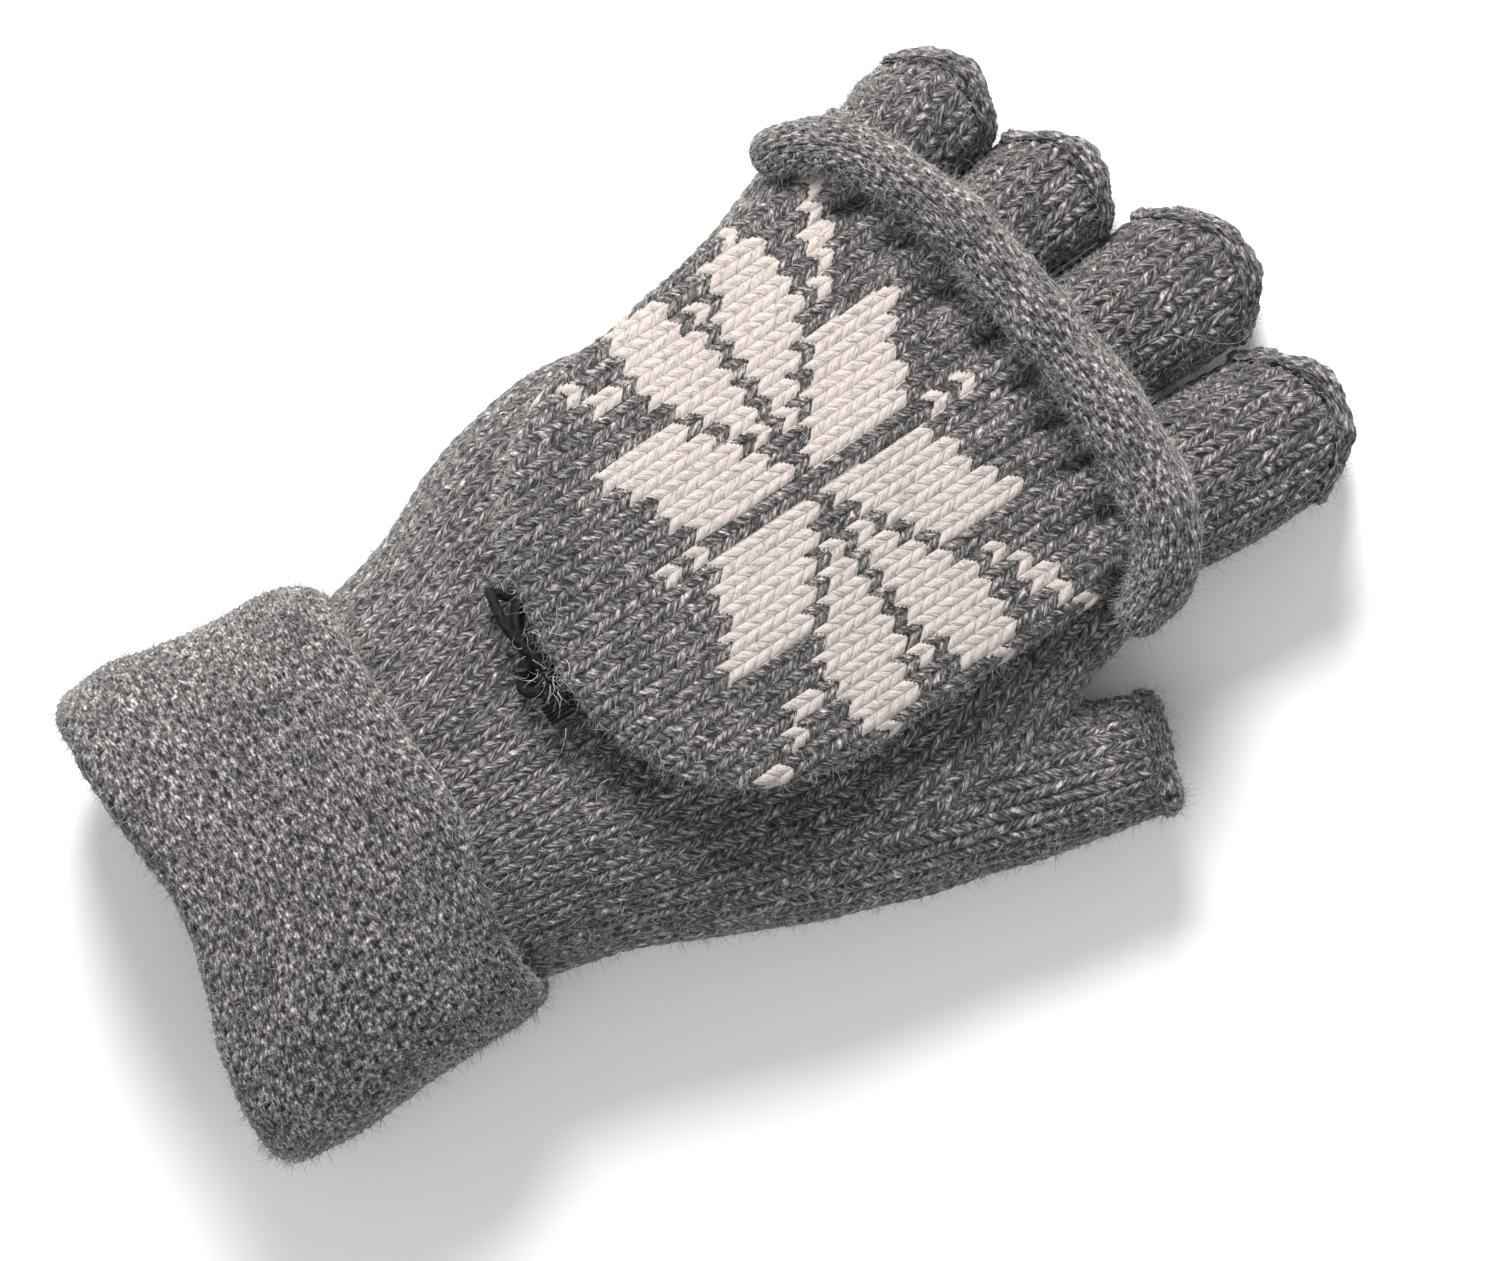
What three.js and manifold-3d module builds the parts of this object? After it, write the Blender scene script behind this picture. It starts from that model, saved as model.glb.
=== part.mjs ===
// Convertible flip-top mitten, left hand, as worn: a fingerless wool glove with a mitten cap
// folded back over the back of the hand. Millimetres. +X is the thumb side, +Y points to the
// fingertips, +Z is up out of the back of the hand, and the palm rests on z = 0.
import * as THREE from 'three';
import Module from 'manifold-3d';
import { mergeVertices } from 'three/addons/utils/BufferGeometryUtils.js';

const wasm = await Module();
wasm.setup();

// ---- driving dimensions ---------------------------------------------------------------------
const FABRIC = 2.2;          // thickness of the knitted wool
const GAP = 0.35;            // clearance between neighbouring pieces
const SIDES = 36;            // points round a large section
const TUBE_SIDES = 20;       // points round a finger section

const KNUCKLE_Y = 60;        // where the palm ends and the finger tubes start
const HAND_START_Y = -50;    // where the wrist tube ends and the hand starts
const WRIST_END_Y = -80.7;   // lower end of the wrist tube
const OVERCUT = 2;           // how far a cutter passes the face it cuts
const FAR = 100;             // beyond every piece, for blocks that cut everything on one side

// Sections of the hand: y, left x, right x, underside z, top z, roundness exponent.
const HAND_SECTIONS = [
  [-50, -37.5, 26.5, 3.4, 41.5, 2.2],
  [-36, -41.0, 30.5, 1.6, 39.8, 2.3],
  [-20, -47.5, 37.0, -0.8, 37.6, 2.4],
  [-4, -50.5, 42.6, -0.9, 35.8, 2.4],
  [12, -48.8, 44.2, -0.9, 34.8, 2.5],
  [25, -51.0, 42.0, -0.4, 34.2, 2.7],
  [36, -53.8, 38.8, 4.0, 33.6, 2.9],
  [48, -57.6, 35.4, 5.6, 32.8, 3.2],
  [60, -59.4, 32.2, 6.4, 30.6, 3.6],
];

const WRIST = { left: -37.2, right: 25.8, under: 4.2, top: 42.0, roundness: 2.2, middleY: -66 };

// Turned-back cuff: y, left x, right x of its outside, from the free edge to the fold.
const CUFF_SECTIONS = [
  [-46.8, -40.6, 30.6],
  [-50.0, -43.4, 31.4],
  [-55.0, -44.8, 31.6],
  [-65.0, -45.2, 31.8],
  [-73.0, -46.8, 31.8],
  [-78.0, -48.6, 31.8],
  [-80.7, -48.8, 31.7],
];
const CUFF_TOP_Z = 46;
const CUFF_WALL = 3.0;
const CUFF_EDGE_RADIUS = 1.5;
const CUFF_FOLD_RADIUS = 4.4;
const CUFF_ROUNDNESS = 2.35;
// The fold drops between two heights: by the base everywhere, more across to the thumb side
// and more under the wrist.
const CUFF_SKEW = { start: -56, end: -81, base: 0.6, side: 9.4, sideFrom: -14, sideWidth: 42, under: 2.2 };

// Finger tubes: half width and centre x at the knuckles, then at the tip, and where the roll ends.
const FINGERS = {
  pinky: { base: [-48.6, 9.8], tip: [-50.4, 8.9], end: 81.6, roll: 2.7 },
  ring: { base: [-28.6, 9.7], tip: [-30.0, 9.1], end: 89.6, roll: 2.6 },
  middle: { base: [-7.0, 11.4], tip: [-6.8, 10.9], end: 101.5, roll: 2.7 },
  index: { base: [18.0, 13.1], tip: [19.8, 11.6], end: 101.3, roll: 2.7 },
};
const FINGER_Z = 18;
const FINGER_DEPTH = { base: 10.9, tip: 9.6 };   // half heights
const FINGER_ROUNDNESS = 2.3;
const FINGER_BORE_DEPTH = 6;          // the hand's openings for the fingers start this far below
const FINGER_BORE_INSET = FABRIC + 0.4;
const ROLL_INSET = 0.6;               // a roll's centre line, inside the outside of its tube

// Thumb tube: leans away from the hand in the palm's plane.
const THUMB_TIP = new THREE.Vector2(52.4, 49.5);
const THUMB_LEAN = 18.5;     // degrees away from the fingers
const THUMB_FREE = 12;       // length of the thumb beyond the crotch
const THUMB_ROLL = 2.3;
const THUMB_ROUNDNESS = 2.2;
const THUMB_BORE_SHORT = 6;  // its inside stops this far before its root
// Sections of the thumb: distance back from its tip, half width, half depth, centre z.
const THUMB_SECTIONS = [
  [0, 8.6, 8.8, 14],
  [12, 10.5, 10.4, 14],
  [30, 11.8, 12.0, 14],
  [60, 10.6, 13.0, 15],
  [84, 7.0, 9.0, 17],
];

// Cap, folded back: its outline is a long D with its round tip towards the wrist.
const CAP_CENTRE_X = -9.5;
const CAP_RIGHT = 26.5;
const CAP_LEFT = -48.6;
const CAP_LEFT_MOUTH = -56.6;
const CAP_ROUND_Y = 12;      // the round tip starts here
const CAP_TIP_Y = -22.8;
const CAP_ROUNDNESS = 2.2;
const CAP_MOUTH_Y = 60;
const CAP_DROOP = 2.5;       // how far its sides hang below its middle
const CAP_MIDDLE_X = -12;
const CAP_DROOP_HALF = 40;   // distance from the middle where it has hung that far
const CAP_BACK_START_Y = 48.2;
const CAP_BACK_SAG = 0.4;    // the back panel is this much thinner than the wool
// How far each layer stops short of the cap's tip.
const CAP_TIP_MARGIN = { front: 0.6, frontInside: 3.2, back: 4 };
const CAP_MOUTH_FLOOR = 31.6;   // height of its underside at the knuckles
const CAP_TIP_FLOOR = 43.1;     // the tip rides over the button
const CAP_LEVEL_Y = -9;         // its underside slopes from the mouth up to here
const CAP_HEIGHT = 5.6;         // both layers of the folded cap
const HINGE_Y = 50;
const SEAM = { z: 34.1, left: -36, right: 14, radius: 1.0 };

// The roll of the cap's mouth: centre x, y, z and radius along its length.
const MOUTH_ROLL = [
  [-58.0, 44.5, 31.6, 3.5],
  [-57.4, 49.5, 34.2, 3.9],
  [-54.6, 54.4, 36.4, 4.3],
  [-49.6, 58.8, 38.6, 4.6],
  [-39.0, 63.4, 40.4, 4.9],
  [-24.0, 66.6, 41.2, 5.2],
  [-6.0, 68.4, 41.4, 5.5],
  [10.0, 68.7, 41.2, 5.7],
  [21.0, 67.0, 40.4, 5.6],
  [28.0, 62.6, 38.0, 5.0],
  [31.2, 57.4, 35.4, 4.2],
  [33.2, 52.6, 33.2, 3.5],
];

const BUTTON = {
  x: -15.5, y: -17.2, radius: 9, under: 40.5, thick: 2.3, rim: 1.8, dish: 0.7, hole: 1.0, spread: 2.2,
};
const THREAD = { shank: 1.6, bar: [3.6, 0.9, 0.5] };
const LOOP_RADIUS = 0.85;
const LOOP_SHANK_Z = 39.4;
const LOOP_TOP_Z = 43.6;
const LOOP_TACK = { x: -5.0, y: -25.6, size: [3.4, 5.6, 2.4] };

const COLOURS = { wool: 0x6b6966, cuffWool: 0x807d77, black: 0x1c1b1c, thread: 0x4a4846 };

// ---- small helpers --------------------------------------------------------------------------
const lerp = (a, b, t) => a + (b - a) * t;
const clamp01 = (t) => Math.min(1, Math.max(0, t));
const smooth = (t) => clamp01(t) * clamp01(t) * (3 - 2 * clamp01(t));

// Values between rows of a table whose first column rises or falls steadily.
function alongTable(table, at) {
  const rising = table[table.length - 1][0] > table[0][0];
  let i = 1;
  while (i < table.length - 1 && (rising ? table[i][0] < at : table[i][0] > at)) i += 1;
  const [a, b] = [table[i - 1], table[i]];
  const t = clamp01((at - a[0]) / (b[0] - a[0]));
  return a.map((value, k) => lerp(value, b[k], t));
}

// A closed ring of points: a superellipse in the plane of two directions.
function sectionRing(centre, across, up, halfWidth, halfHeight, exponent, sides) {
  const ring = [];
  for (let i = 0; i < sides; i += 1) {
    const angle = (2 * Math.PI * i) / sides;
    const c = Math.cos(angle);
    const s = Math.sin(angle);
    const x = Math.sign(c) * Math.abs(c) ** (2 / exponent) * halfWidth;
    const z = Math.sign(s) * Math.abs(s) ** (2 / exponent) * halfHeight;
    ring.push(centre.clone().addScaledVector(across, x).addScaledVector(up, z));
  }
  return ring;
}

const X_AXIS = new THREE.Vector3(1, 0, 0);
const Z_AXIS = new THREE.Vector3(0, 0, 1);

function uprightRing(y, left, right, under, top, exponent, sides) {
  const centre = new THREE.Vector3((left + right) / 2, y, (under + top) / 2);
  const halves = [(right - left) / 2, (top - under) / 2];
  return sectionRing(centre, X_AXIS, Z_AXIS, ...halves, exponent, sides);
}

// Skin through a list of rings. Open lofts get flat end caps; a looped loft closes on itself.
function loft(rings, looped = false) {
  const sides = rings[0].length;
  const positions = rings.flat().flatMap((p) => [p.x, p.y, p.z]);
  const indices = [];
  const spans = looped ? rings.length : rings.length - 1;
  for (let r = 0; r < spans; r += 1) {
    const here = r * sides;
    const next = ((r + 1) % rings.length) * sides;
    for (let i = 0; i < sides; i += 1) {
      const j = (i + 1) % sides;
      indices.push(here + i, here + j, next + j, here + i, next + j, next + i);
    }
  }
  if (!looped) {
    [rings[0], rings[rings.length - 1]].forEach((ring, end) => {
      const middle = ring.reduce((sum, p) => sum.add(p), new THREE.Vector3());
      middle.divideScalar(sides);
      const centre = positions.length / 3;
      positions.push(middle.x, middle.y, middle.z);
      const first = end === 0 ? 0 : (rings.length - 1) * sides;
      for (let i = 0; i < sides; i += 1) {
        const j = (i + 1) % sides;
        if (end === 0) indices.push(centre, first + j, first + i);
        else indices.push(centre, first + i, first + j);
      }
    });
  }
  return facingOut(positions, indices);
}

// A geometry whose triangles all face outwards.
function facingOut(positions, indices) {
  let volume = 0;
  const corner = (i) => new THREE.Vector3().fromArray(positions, i * 3);
  for (let k = 0; k < indices.length; k += 3) {
    const [a, b, c] = [corner(indices[k]), corner(indices[k + 1]), corner(indices[k + 2])];
    volume += a.dot(b.cross(c));
  }
  const geometry = new THREE.BufferGeometry();
  geometry.setAttribute('position', new THREE.Float32BufferAttribute(positions, 3));
  geometry.setIndex(volume < 0 ? indices.slice().reverse() : indices);
  return geometry;
}

function solid(geometry) {
  const bare = geometry.clone();
  bare.deleteAttribute('normal');
  bare.deleteAttribute('uv');
  const merged = mergeVertices(bare, 1e-4);
  return new wasm.Manifold(new wasm.Mesh({
    numProp: 3,
    vertProperties: new Float32Array(merged.attributes.position.array),
    triVerts: new Uint32Array(merged.index.array),
  }));
}

function geometryOf(manifold) {
  const mesh = manifold.getMesh();
  const geometry = new THREE.BufferGeometry();
  geometry.setAttribute('position', new THREE.BufferAttribute(mesh.vertProperties, 3));
  geometry.setIndex(new THREE.BufferAttribute(mesh.triVerts, 1));
  return geometry;
}

const cut = (body, ...tools) => tools.reduce((left, tool) => left.subtract(tool), body);

function block(x0, x1, y0, y1, z0, z1) {
  const box = new THREE.BoxGeometry(x1 - x0, y1 - y0, z1 - z0);
  box.translate((x0 + x1) / 2, (y0 + y1) / 2, (z0 + z1) / 2);
  return solid(box);
}

const above = (height) => block(-FAR, FAR, -2 * FAR, 2 * FAR, height, FAR);

const group = new THREE.Group();

function addPiece(name, geometry, colour, roughness = 0.95) {
  const flat = geometry.index ? geometry.toNonIndexed() : geometry;
  flat.computeVertexNormals();
  const material = new THREE.MeshStandardMaterial({ color: colour, roughness, metalness: 0 });
  const mesh = new THREE.Mesh(flat, material);
  mesh.name = name;
  group.add(mesh);
}

// ---- hand, wrist and thumb swelling -----------------------------------------------------------
function handRing(y, inset = 0) {
  const [, left, right, under, top, exponent] = alongTable(HAND_SECTIONS, y);
  return uprightRing(y, left + inset, right - inset, under + inset, top - inset, exponent, SIDES);
}

// Height of the back of the hand at a place.
function handTop(x, y) {
  const [, left, right, under, top, exponent] = alongTable(HAND_SECTIONS, y);
  const offset = Math.abs(x - (left + right) / 2) / ((right - left) / 2);
  const share = (1 - offset ** exponent) ** (1 / exponent);
  return (under + top) / 2 + ((top - under) / 2) * share;
}

const thumbAxis = new THREE.Vector3(0, 1, 0).applyAxisAngle(Z_AXIS, -THREE.MathUtils.degToRad(THUMB_LEAN));
const thumbAcross = new THREE.Vector3().crossVectors(thumbAxis, Z_AXIS).normalize();

// A ring of the thumb at a distance back from its tip.
function thumbRing(back, inset) {
  const [, halfWidth, halfDepth, z] = alongTable(THUMB_SECTIONS, back);
  const centre = new THREE.Vector3(THUMB_TIP.x, THUMB_TIP.y, z).addScaledVector(thumbAxis, -back);
  const halves = [halfWidth - inset, halfDepth - inset];
  return sectionRing(centre, thumbAcross, Z_AXIS, ...halves, THUMB_ROUNDNESS, TUBE_SIDES);
}

function thumbLoft(from, to, inset, steps = 6) {
  const rings = [];
  for (let i = 0; i <= steps; i += 1) rings.push(thumbRing(lerp(from, to, i / steps), inset));
  return solid(loft(rings));
}

function handShell() {
  const ys = HAND_SECTIONS.map((row) => row[0]);
  const outerRings = ys.map((y) => handRing(y === HAND_START_Y ? y + GAP : y));
  const thumbRoot = THUMB_SECTIONS[THUMB_SECTIONS.length - 1][0];
  const outerThumb = thumbLoft(THUMB_FREE + GAP, thumbRoot, 0);
  const outer = solid(loft(outerRings)).add(outerThumb).intersect(above(0));
  const innerYs = [HAND_START_Y - OVERCUT, ...ys.slice(1, -1), KNUCKLE_Y - FABRIC];
  const innerRings = innerYs.map((y) => handRing(y, FABRIC));
  const inner = solid(loft(innerRings)).intersect(above(FABRIC));
  const thumbBore = thumbLoft(THUMB_FREE - OVERCUT, thumbRoot - THUMB_BORE_SHORT, FABRIC);
  const boreStart = KNUCKLE_Y - FINGER_BORE_DEPTH;
  const bores = Object.values(FINGERS).map(
    (finger) => fingerLoft(finger, boreStart, 0, FINGER_BORE_INSET));
  return cut(outer, inner, thumbBore.intersect(above(FABRIC)), ...bores);
}

function wristTube() {
  const { left, right, under, top, roundness, middleY } = WRIST;
  const ring = (y, inset) => uprightRing(
    y, left + inset, right - inset, under + inset, top - inset, roundness, SIDES).map(skewed);
  const outer = solid(loft([ring(WRIST_END_Y, 0), ring(middleY, 0), ring(HAND_START_Y, 0)]));
  const inner = solid(loft([
    ring(WRIST_END_Y - OVERCUT, FABRIC),
    ring(HAND_START_Y + OVERCUT, FABRIC),
  ]));
  return cut(outer, inner);
}

// ---- finger tubes and their rolled edges ------------------------------------------------------
const rollCentreY = (finger) => finger.end - finger.roll;
const tubeEndY = (finger) => rollCentreY(finger) - finger.roll - GAP;

function fingerRing(finger, y, inset) {
  const t = (y - KNUCKLE_Y) / (tubeEndY(finger) - KNUCKLE_Y);
  const centre = lerp(finger.base[0], finger.tip[0], t);
  const half = lerp(finger.base[1], finger.tip[1], clamp01(t)) - inset;
  const depth = lerp(FINGER_DEPTH.base, FINGER_DEPTH.tip, clamp01(t)) - inset;
  const middle = new THREE.Vector3(centre, y, FINGER_Z);
  return sectionRing(middle, X_AXIS, Z_AXIS, half, depth, FINGER_ROUNDNESS, TUBE_SIDES);
}

// The inside of a finger tube, from a start height to a little past its tip.
function fingerLoft(finger, startY, past, inset = FABRIC) {
  return solid(loft([
    fingerRing(finger, startY, inset),
    fingerRing(finger, KNUCKLE_Y, inset),
    fingerRing(finger, tubeEndY(finger) + past, inset),
  ]));
}

function fingerTube(finger) {
  const outer = solid(loft([
    fingerRing(finger, KNUCKLE_Y + GAP, 0),
    fingerRing(finger, tubeEndY(finger), 0),
  ]));
  return cut(outer, fingerLoft(finger, KNUCKLE_Y - OVERCUT, OVERCUT));
}

// A doughnut that follows a section ring; the roll's own section is a circle.
function rollRound(path, outward, radius, sides = 8) {
  const centre = path.reduce((sum, p) => sum.add(p), new THREE.Vector3()).divideScalar(path.length);
  const rings = path.map((p) => {
    const away = p.clone().sub(centre).normalize();
    return sectionRing(p, away, outward, radius, radius, 2, sides);
  });
  return loft(rings, true);
}

function fingerRoll(finger) {
  const path = fingerRing(finger, rollCentreY(finger), ROLL_INSET);
  return rollRound(path, new THREE.Vector3(0, 1, 0), finger.roll);
}

function thumbTube() {
  const outer = thumbLoft(2 * THUMB_ROLL + GAP, THUMB_FREE, 0, 2);
  return cut(outer, thumbLoft(-OVERCUT, THUMB_FREE + OVERCUT, FABRIC, 2));
}

const thumbRoll = () => rollRound(thumbRing(THUMB_ROLL, ROLL_INSET), thumbAxis, THUMB_ROLL);

// ---- turned-back cuff -------------------------------------------------------------------------
// The fold hangs lower at the thumb side and under the wrist.
function skewed(point) {
  const along = smooth((CUFF_SKEW.start - point.y) / (CUFF_SKEW.start - CUFF_SKEW.end));
  const side = smooth((point.x - CUFF_SKEW.sideFrom) / CUFF_SKEW.sideWidth);
  const under = 1 - clamp01(point.z / CUFF_TOP_Z);
  point.y -= along * (CUFF_SKEW.base + CUFF_SKEW.side * side + CUFF_SKEW.under * under);
  return point;
}

function cuffRing(y, inset) {
  const [, left, right] = alongTable(CUFF_SECTIONS, y);
  const ring = uprightRing(
    y, left + inset, right - inset, inset, CUFF_TOP_Z - inset, CUFF_ROUNDNESS, SIDES);
  return ring.map(skewed);
}

function cuffLayer() {
  const ys = CUFF_SECTIONS.map((row) => row[0]);
  const start = ys[0] - 2 * CUFF_EDGE_RADIUS - GAP;
  const rows = [start, ...ys.slice(2)];
  const outer = solid(loft(rows.map((y) => cuffRing(y, 0))));
  const innerRows = [start + OVERCUT, ...ys.slice(2, -1), ys[ys.length - 1] - OVERCUT];
  return cut(outer, solid(loft(innerRows.map((y) => cuffRing(y, CUFF_WALL)))));
}

function cuffEdge() {
  const y = CUFF_SECTIONS[0][0] - CUFF_EDGE_RADIUS;
  return rollRound(cuffRing(y, CUFF_EDGE_RADIUS), new THREE.Vector3(0, 1, 0), CUFF_EDGE_RADIUS);
}

// The fold joins the outer layer to the wrist tube, round its lower end.
function cuffFold() {
  const path = cuffRing(CUFF_SECTIONS[CUFF_SECTIONS.length - 1][0], CUFF_FOLD_RADIUS);
  path.forEach((p) => { p.y -= CUFF_FOLD_RADIUS + 2 * GAP; });
  return rollRound(path, new THREE.Vector3(0, 1, 0), CUFF_FOLD_RADIUS, 10);
}

// ---- folded-back cap ----------------------------------------------------------------------------
// Left and right edges of the cap at a height y.
function capEdges(y) {
  if (y >= CAP_ROUND_Y) {
    const t = clamp01((y - CAP_ROUND_Y) / (CAP_MOUTH_Y - CAP_ROUND_Y));
    return [lerp(CAP_LEFT, CAP_LEFT_MOUTH, t), CAP_RIGHT];
  }
  const down = (CAP_ROUND_Y - y) / (CAP_ROUND_Y - CAP_TIP_Y);
  const width = (1 - down ** CAP_ROUNDNESS) ** (1 / CAP_ROUNDNESS);
  return [CAP_LEFT, CAP_RIGHT].map((edge) => CAP_CENTRE_X + (edge - CAP_CENTRE_X) * width);
}

// Underside of the cap: it slopes from the knuckles up to the button and hangs a little at its sides.
function capFloor(x, y) {
  const climb = clamp01((CAP_MOUTH_Y - y) / (CAP_MOUTH_Y - CAP_LEVEL_Y));
  const hang = ((x - CAP_MIDDLE_X) / CAP_DROOP_HALF) ** 2;
  return lerp(CAP_MOUTH_FLOOR, CAP_TIP_FLOOR, climb) - CAP_DROOP * hang;
}

// A slab over the cap's outline: its faces are heights above the cap's underside.
function capSlab(tipY, mouthY, inset, low, high, across = 14, along = 16) {
  const grid = [];
  for (let r = 0; r <= along; r += 1) {
    const ease = 1 - Math.cos((Math.PI / 2) * (r / along));
    const y = lerp(tipY, mouthY, ease);
    const [left, right] = capEdges(y + (y < CAP_ROUND_Y ? -inset : 0));
    const row = [];
    for (let c = 0; c <= across; c += 1) {
      row.push([lerp(left + inset, right - inset, 0.5 - 0.5 * Math.cos((Math.PI * c) / across)), y]);
    }
    grid.push(row);
  }
  const stride = across + 1;
  const count = grid.length * stride;
  const level = (height) => grid.flat().flatMap(([x, y]) => [x, y, capFloor(x, y) + height]);
  const indices = [];
  const quad = (a, b, c, d) => indices.push(a, b, c, a, c, d);
  for (let r = 0; r < along; r += 1) {
    for (let c = 0; c < across; c += 1) {
      const a = r * stride + c;
      quad(a, a + stride, a + stride + 1, a + 1);
      quad(count + a, count + a + 1, count + a + stride + 1, count + a + stride);
    }
    const start = r * stride;
    const end = start + across;
    quad(start, count + start, count + start + stride, start + stride);
    quad(end, end + stride, count + end + stride, count + end);
  }
  for (let c = 0; c < across; c += 1) {
    const last = along * stride + c;
    quad(c, c + 1, count + c + 1, count + c);
    quad(last, count + last, count + last + 1, last + 1);
  }
  return facingOut([...level(low), ...level(high)], indices);
}

function capBack() {
  const tipY = CAP_TIP_Y + CAP_TIP_MARGIN.back;
  return capSlab(tipY, CAP_BACK_START_Y, FABRIC + GAP, 0, FABRIC - CAP_BACK_SAG);
}

// The front is a shallow tray turned over: its rim reaches down round the back panel.
function capFront() {
  const outerTip = CAP_TIP_Y + CAP_TIP_MARGIN.front;
  const innerTip = CAP_TIP_Y + CAP_TIP_MARGIN.frontInside;
  const innerMouth = CAP_MOUTH_Y + 3;
  const outer = solid(capSlab(outerTip, CAP_MOUTH_Y, 0, 0, CAP_HEIGHT));
  const inner = solid(capSlab(innerTip, innerMouth, FABRIC, -OVERCUT, CAP_HEIGHT - FABRIC));
  return cut(outer, inner, solid(mouthRoll(GAP)), beyondMouth());
}

// Everything past the roll's centre line, to trim the front panel along the roll.
function beyondMouth() {
  const line = MOUTH_ROLL.map(([x, y]) => new THREE.Vector2(x, y));
  const last = line[line.length - 1];
  const far = [[FAR, last.y], [FAR, 2 * FAR], [-FAR, 2 * FAR]].map(([x, y]) => new THREE.Vector2(x, y));
  const shape = new THREE.Shape([new THREE.Vector2(-FAR, line[0].y), ...line, ...far]);
  return solid(new THREE.ExtrudeGeometry(shape, { depth: FAR, bevelEnabled: false }));
}

function mouthRoll(extra = 0) {
  const curve = new THREE.CatmullRomCurve3(MOUTH_ROLL.map(([x, y, z]) => new THREE.Vector3(x, y, z)));
  const steps = 3 * (MOUTH_ROLL.length - 1);
  const rings = [];
  for (let i = 0; i <= steps; i += 1) {
    const t = i / steps;
    const place = t * (MOUTH_ROLL.length - 1);
    const k = Math.min(Math.floor(place), MOUTH_ROLL.length - 2);
    const radius = lerp(MOUTH_ROLL[k][3], MOUTH_ROLL[k + 1][3], place - k) + extra;
    const tangent = curve.getTangent(t);
    const side = new THREE.Vector3().crossVectors(tangent, Z_AXIS).normalize();
    const up = new THREE.Vector3().crossVectors(side, tangent).normalize();
    rings.push(sectionRing(curve.getPoint(t), side, up, radius, radius, 2, 12));
  }
  return loft(rings);
}

function linkingSeam() {
  const { z, left, right, radius } = SEAM;
  const bead = new THREE.CylinderGeometry(radius, radius, right - left, 12);
  bead.rotateZ(Math.PI / 2);
  bead.translate((left + right) / 2, HINGE_Y, z);
  return bead;
}

// ---- button, its thread and the elastic loop ----------------------------------------------------
function disc(radius, z0, z1, x, y, sides) {
  const cylinder = new THREE.CylinderGeometry(radius, radius, z1 - z0, sides);
  cylinder.rotateX(Math.PI / 2);
  cylinder.translate(x, y, (z0 + z1) / 2);
  return cylinder;
}

const HOLE_PLACES = [[1, 1], [-1, 1], [-1, -1], [1, -1]];

function button() {
  const { x, y, radius, under, thick, rim, dish, hole, spread } = BUTTON;
  const top = under + thick;
  const body = solid(disc(radius, under, top, x, y, 40));
  const hollow = solid(disc(radius - rim, top - dish, top + 1, x, y, 32));
  const holes = HOLE_PLACES.map(([i, j]) => solid(
    disc(hole, under - 1, top + 1, x + (i * spread) / 2, y + (j * spread) / 2, 10)));
  return cut(body, hollow, ...holes);
}

// Four threads through the holes, a cross on top and the wrapped shank under the button.
function buttonThread() {
  const { x, y, under, thick, dish, hole, spread } = BUTTON;
  const base = handTop(x, y) + GAP;
  const face = under + thick - dish;
  const reach = spread / 2;
  const shank = solid(disc(THREAD.shank, base, under - GAP, x, y, 16));
  const strands = HOLE_PLACES.map(([i, j]) => solid(
    disc(hole - GAP, under - GAP - 0.2, face + dish, x + i * reach, y + j * reach, 10)));
  const bar = solid(new THREE.BoxGeometry(...THREAD.bar));
  const cross = [45, 135].map((turn) => bar.rotate([0, 0, turn]).translate([x, y, face + GAP + 0.35]));
  return [...strands, ...cross].reduce((whole, piece) => whole.add(piece), shank);
}

// The elastic runs from the cap's tip round the rim of the button to its shank, and back.
const LOOP_ROUTE = [
  [-8.0, -24.0, LOOP_TOP_Z],
  [-13.0, -24.6, LOOP_TOP_Z + 0.4],
  [-19.5, -25.6, LOOP_TOP_Z + 0.3],
  [-24.6, -25.0, 41.8],
  [-25.0, -24.5, 40.0],
  [-22.0, -21.4, LOOP_SHANK_Z],
  [-19.0, -18.0, LOOP_SHANK_Z],
  [-17.4, -14.9, LOOP_SHANK_Z],
  [-14.6, -14.1, LOOP_SHANK_Z],
  [-12.4, -16.2, LOOP_SHANK_Z],
  [-12.2, -20.0, LOOP_SHANK_Z],
  [-11.8, -25.6, LOOP_SHANK_Z],
  [-11.2, -28.3, 40.4],
  [-10.0, -28.6, 42.0],
  [-8.2, -26.6, LOOP_TOP_Z],
];

function elasticLoop() {
  const points = LOOP_ROUTE.map(([x, y, z]) => new THREE.Vector3(x, y, z));
  const section = new THREE.Shape();
  section.absarc(0, 0, LOOP_RADIUS, 0, 2 * Math.PI);
  const route = new THREE.CatmullRomCurve3(points);
  return new THREE.ExtrudeGeometry(section, { extrudePath: route, steps: 56, curveSegments: 8 });
}

// The knot of stitches that holds both ends of the elastic to the cap's tip.
function loopTack() {
  const tack = new THREE.BoxGeometry(...LOOP_TACK.size, 2, 2, 2);
  tack.translate(LOOP_TACK.x, LOOP_TACK.y, LOOP_TOP_Z);
  return tack;
}

// ---- the whole mitten -----------------------------------------------------------------------------
addPiece('hand_shell', geometryOf(handShell()), COLOURS.wool);
addPiece('wrist_tube', geometryOf(wristTube()), COLOURS.wool);
addPiece('cuff_outer_layer', geometryOf(cuffLayer()), COLOURS.cuffWool);
addPiece('cuff_fold_edge', cuffFold(), COLOURS.cuffWool);
addPiece('cuff_cast_on_edge', cuffEdge(), COLOURS.cuffWool);
for (const [name, finger] of Object.entries(FINGERS)) {
  addPiece(`${name}_tube`, geometryOf(fingerTube(finger)), COLOURS.wool);
  addPiece(`${name}_rolled_edge`, fingerRoll(finger), COLOURS.cuffWool);
}
addPiece('thumb_tube', geometryOf(thumbTube()), COLOURS.wool);
addPiece('thumb_rolled_edge', thumbRoll(), COLOURS.cuffWool);
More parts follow.
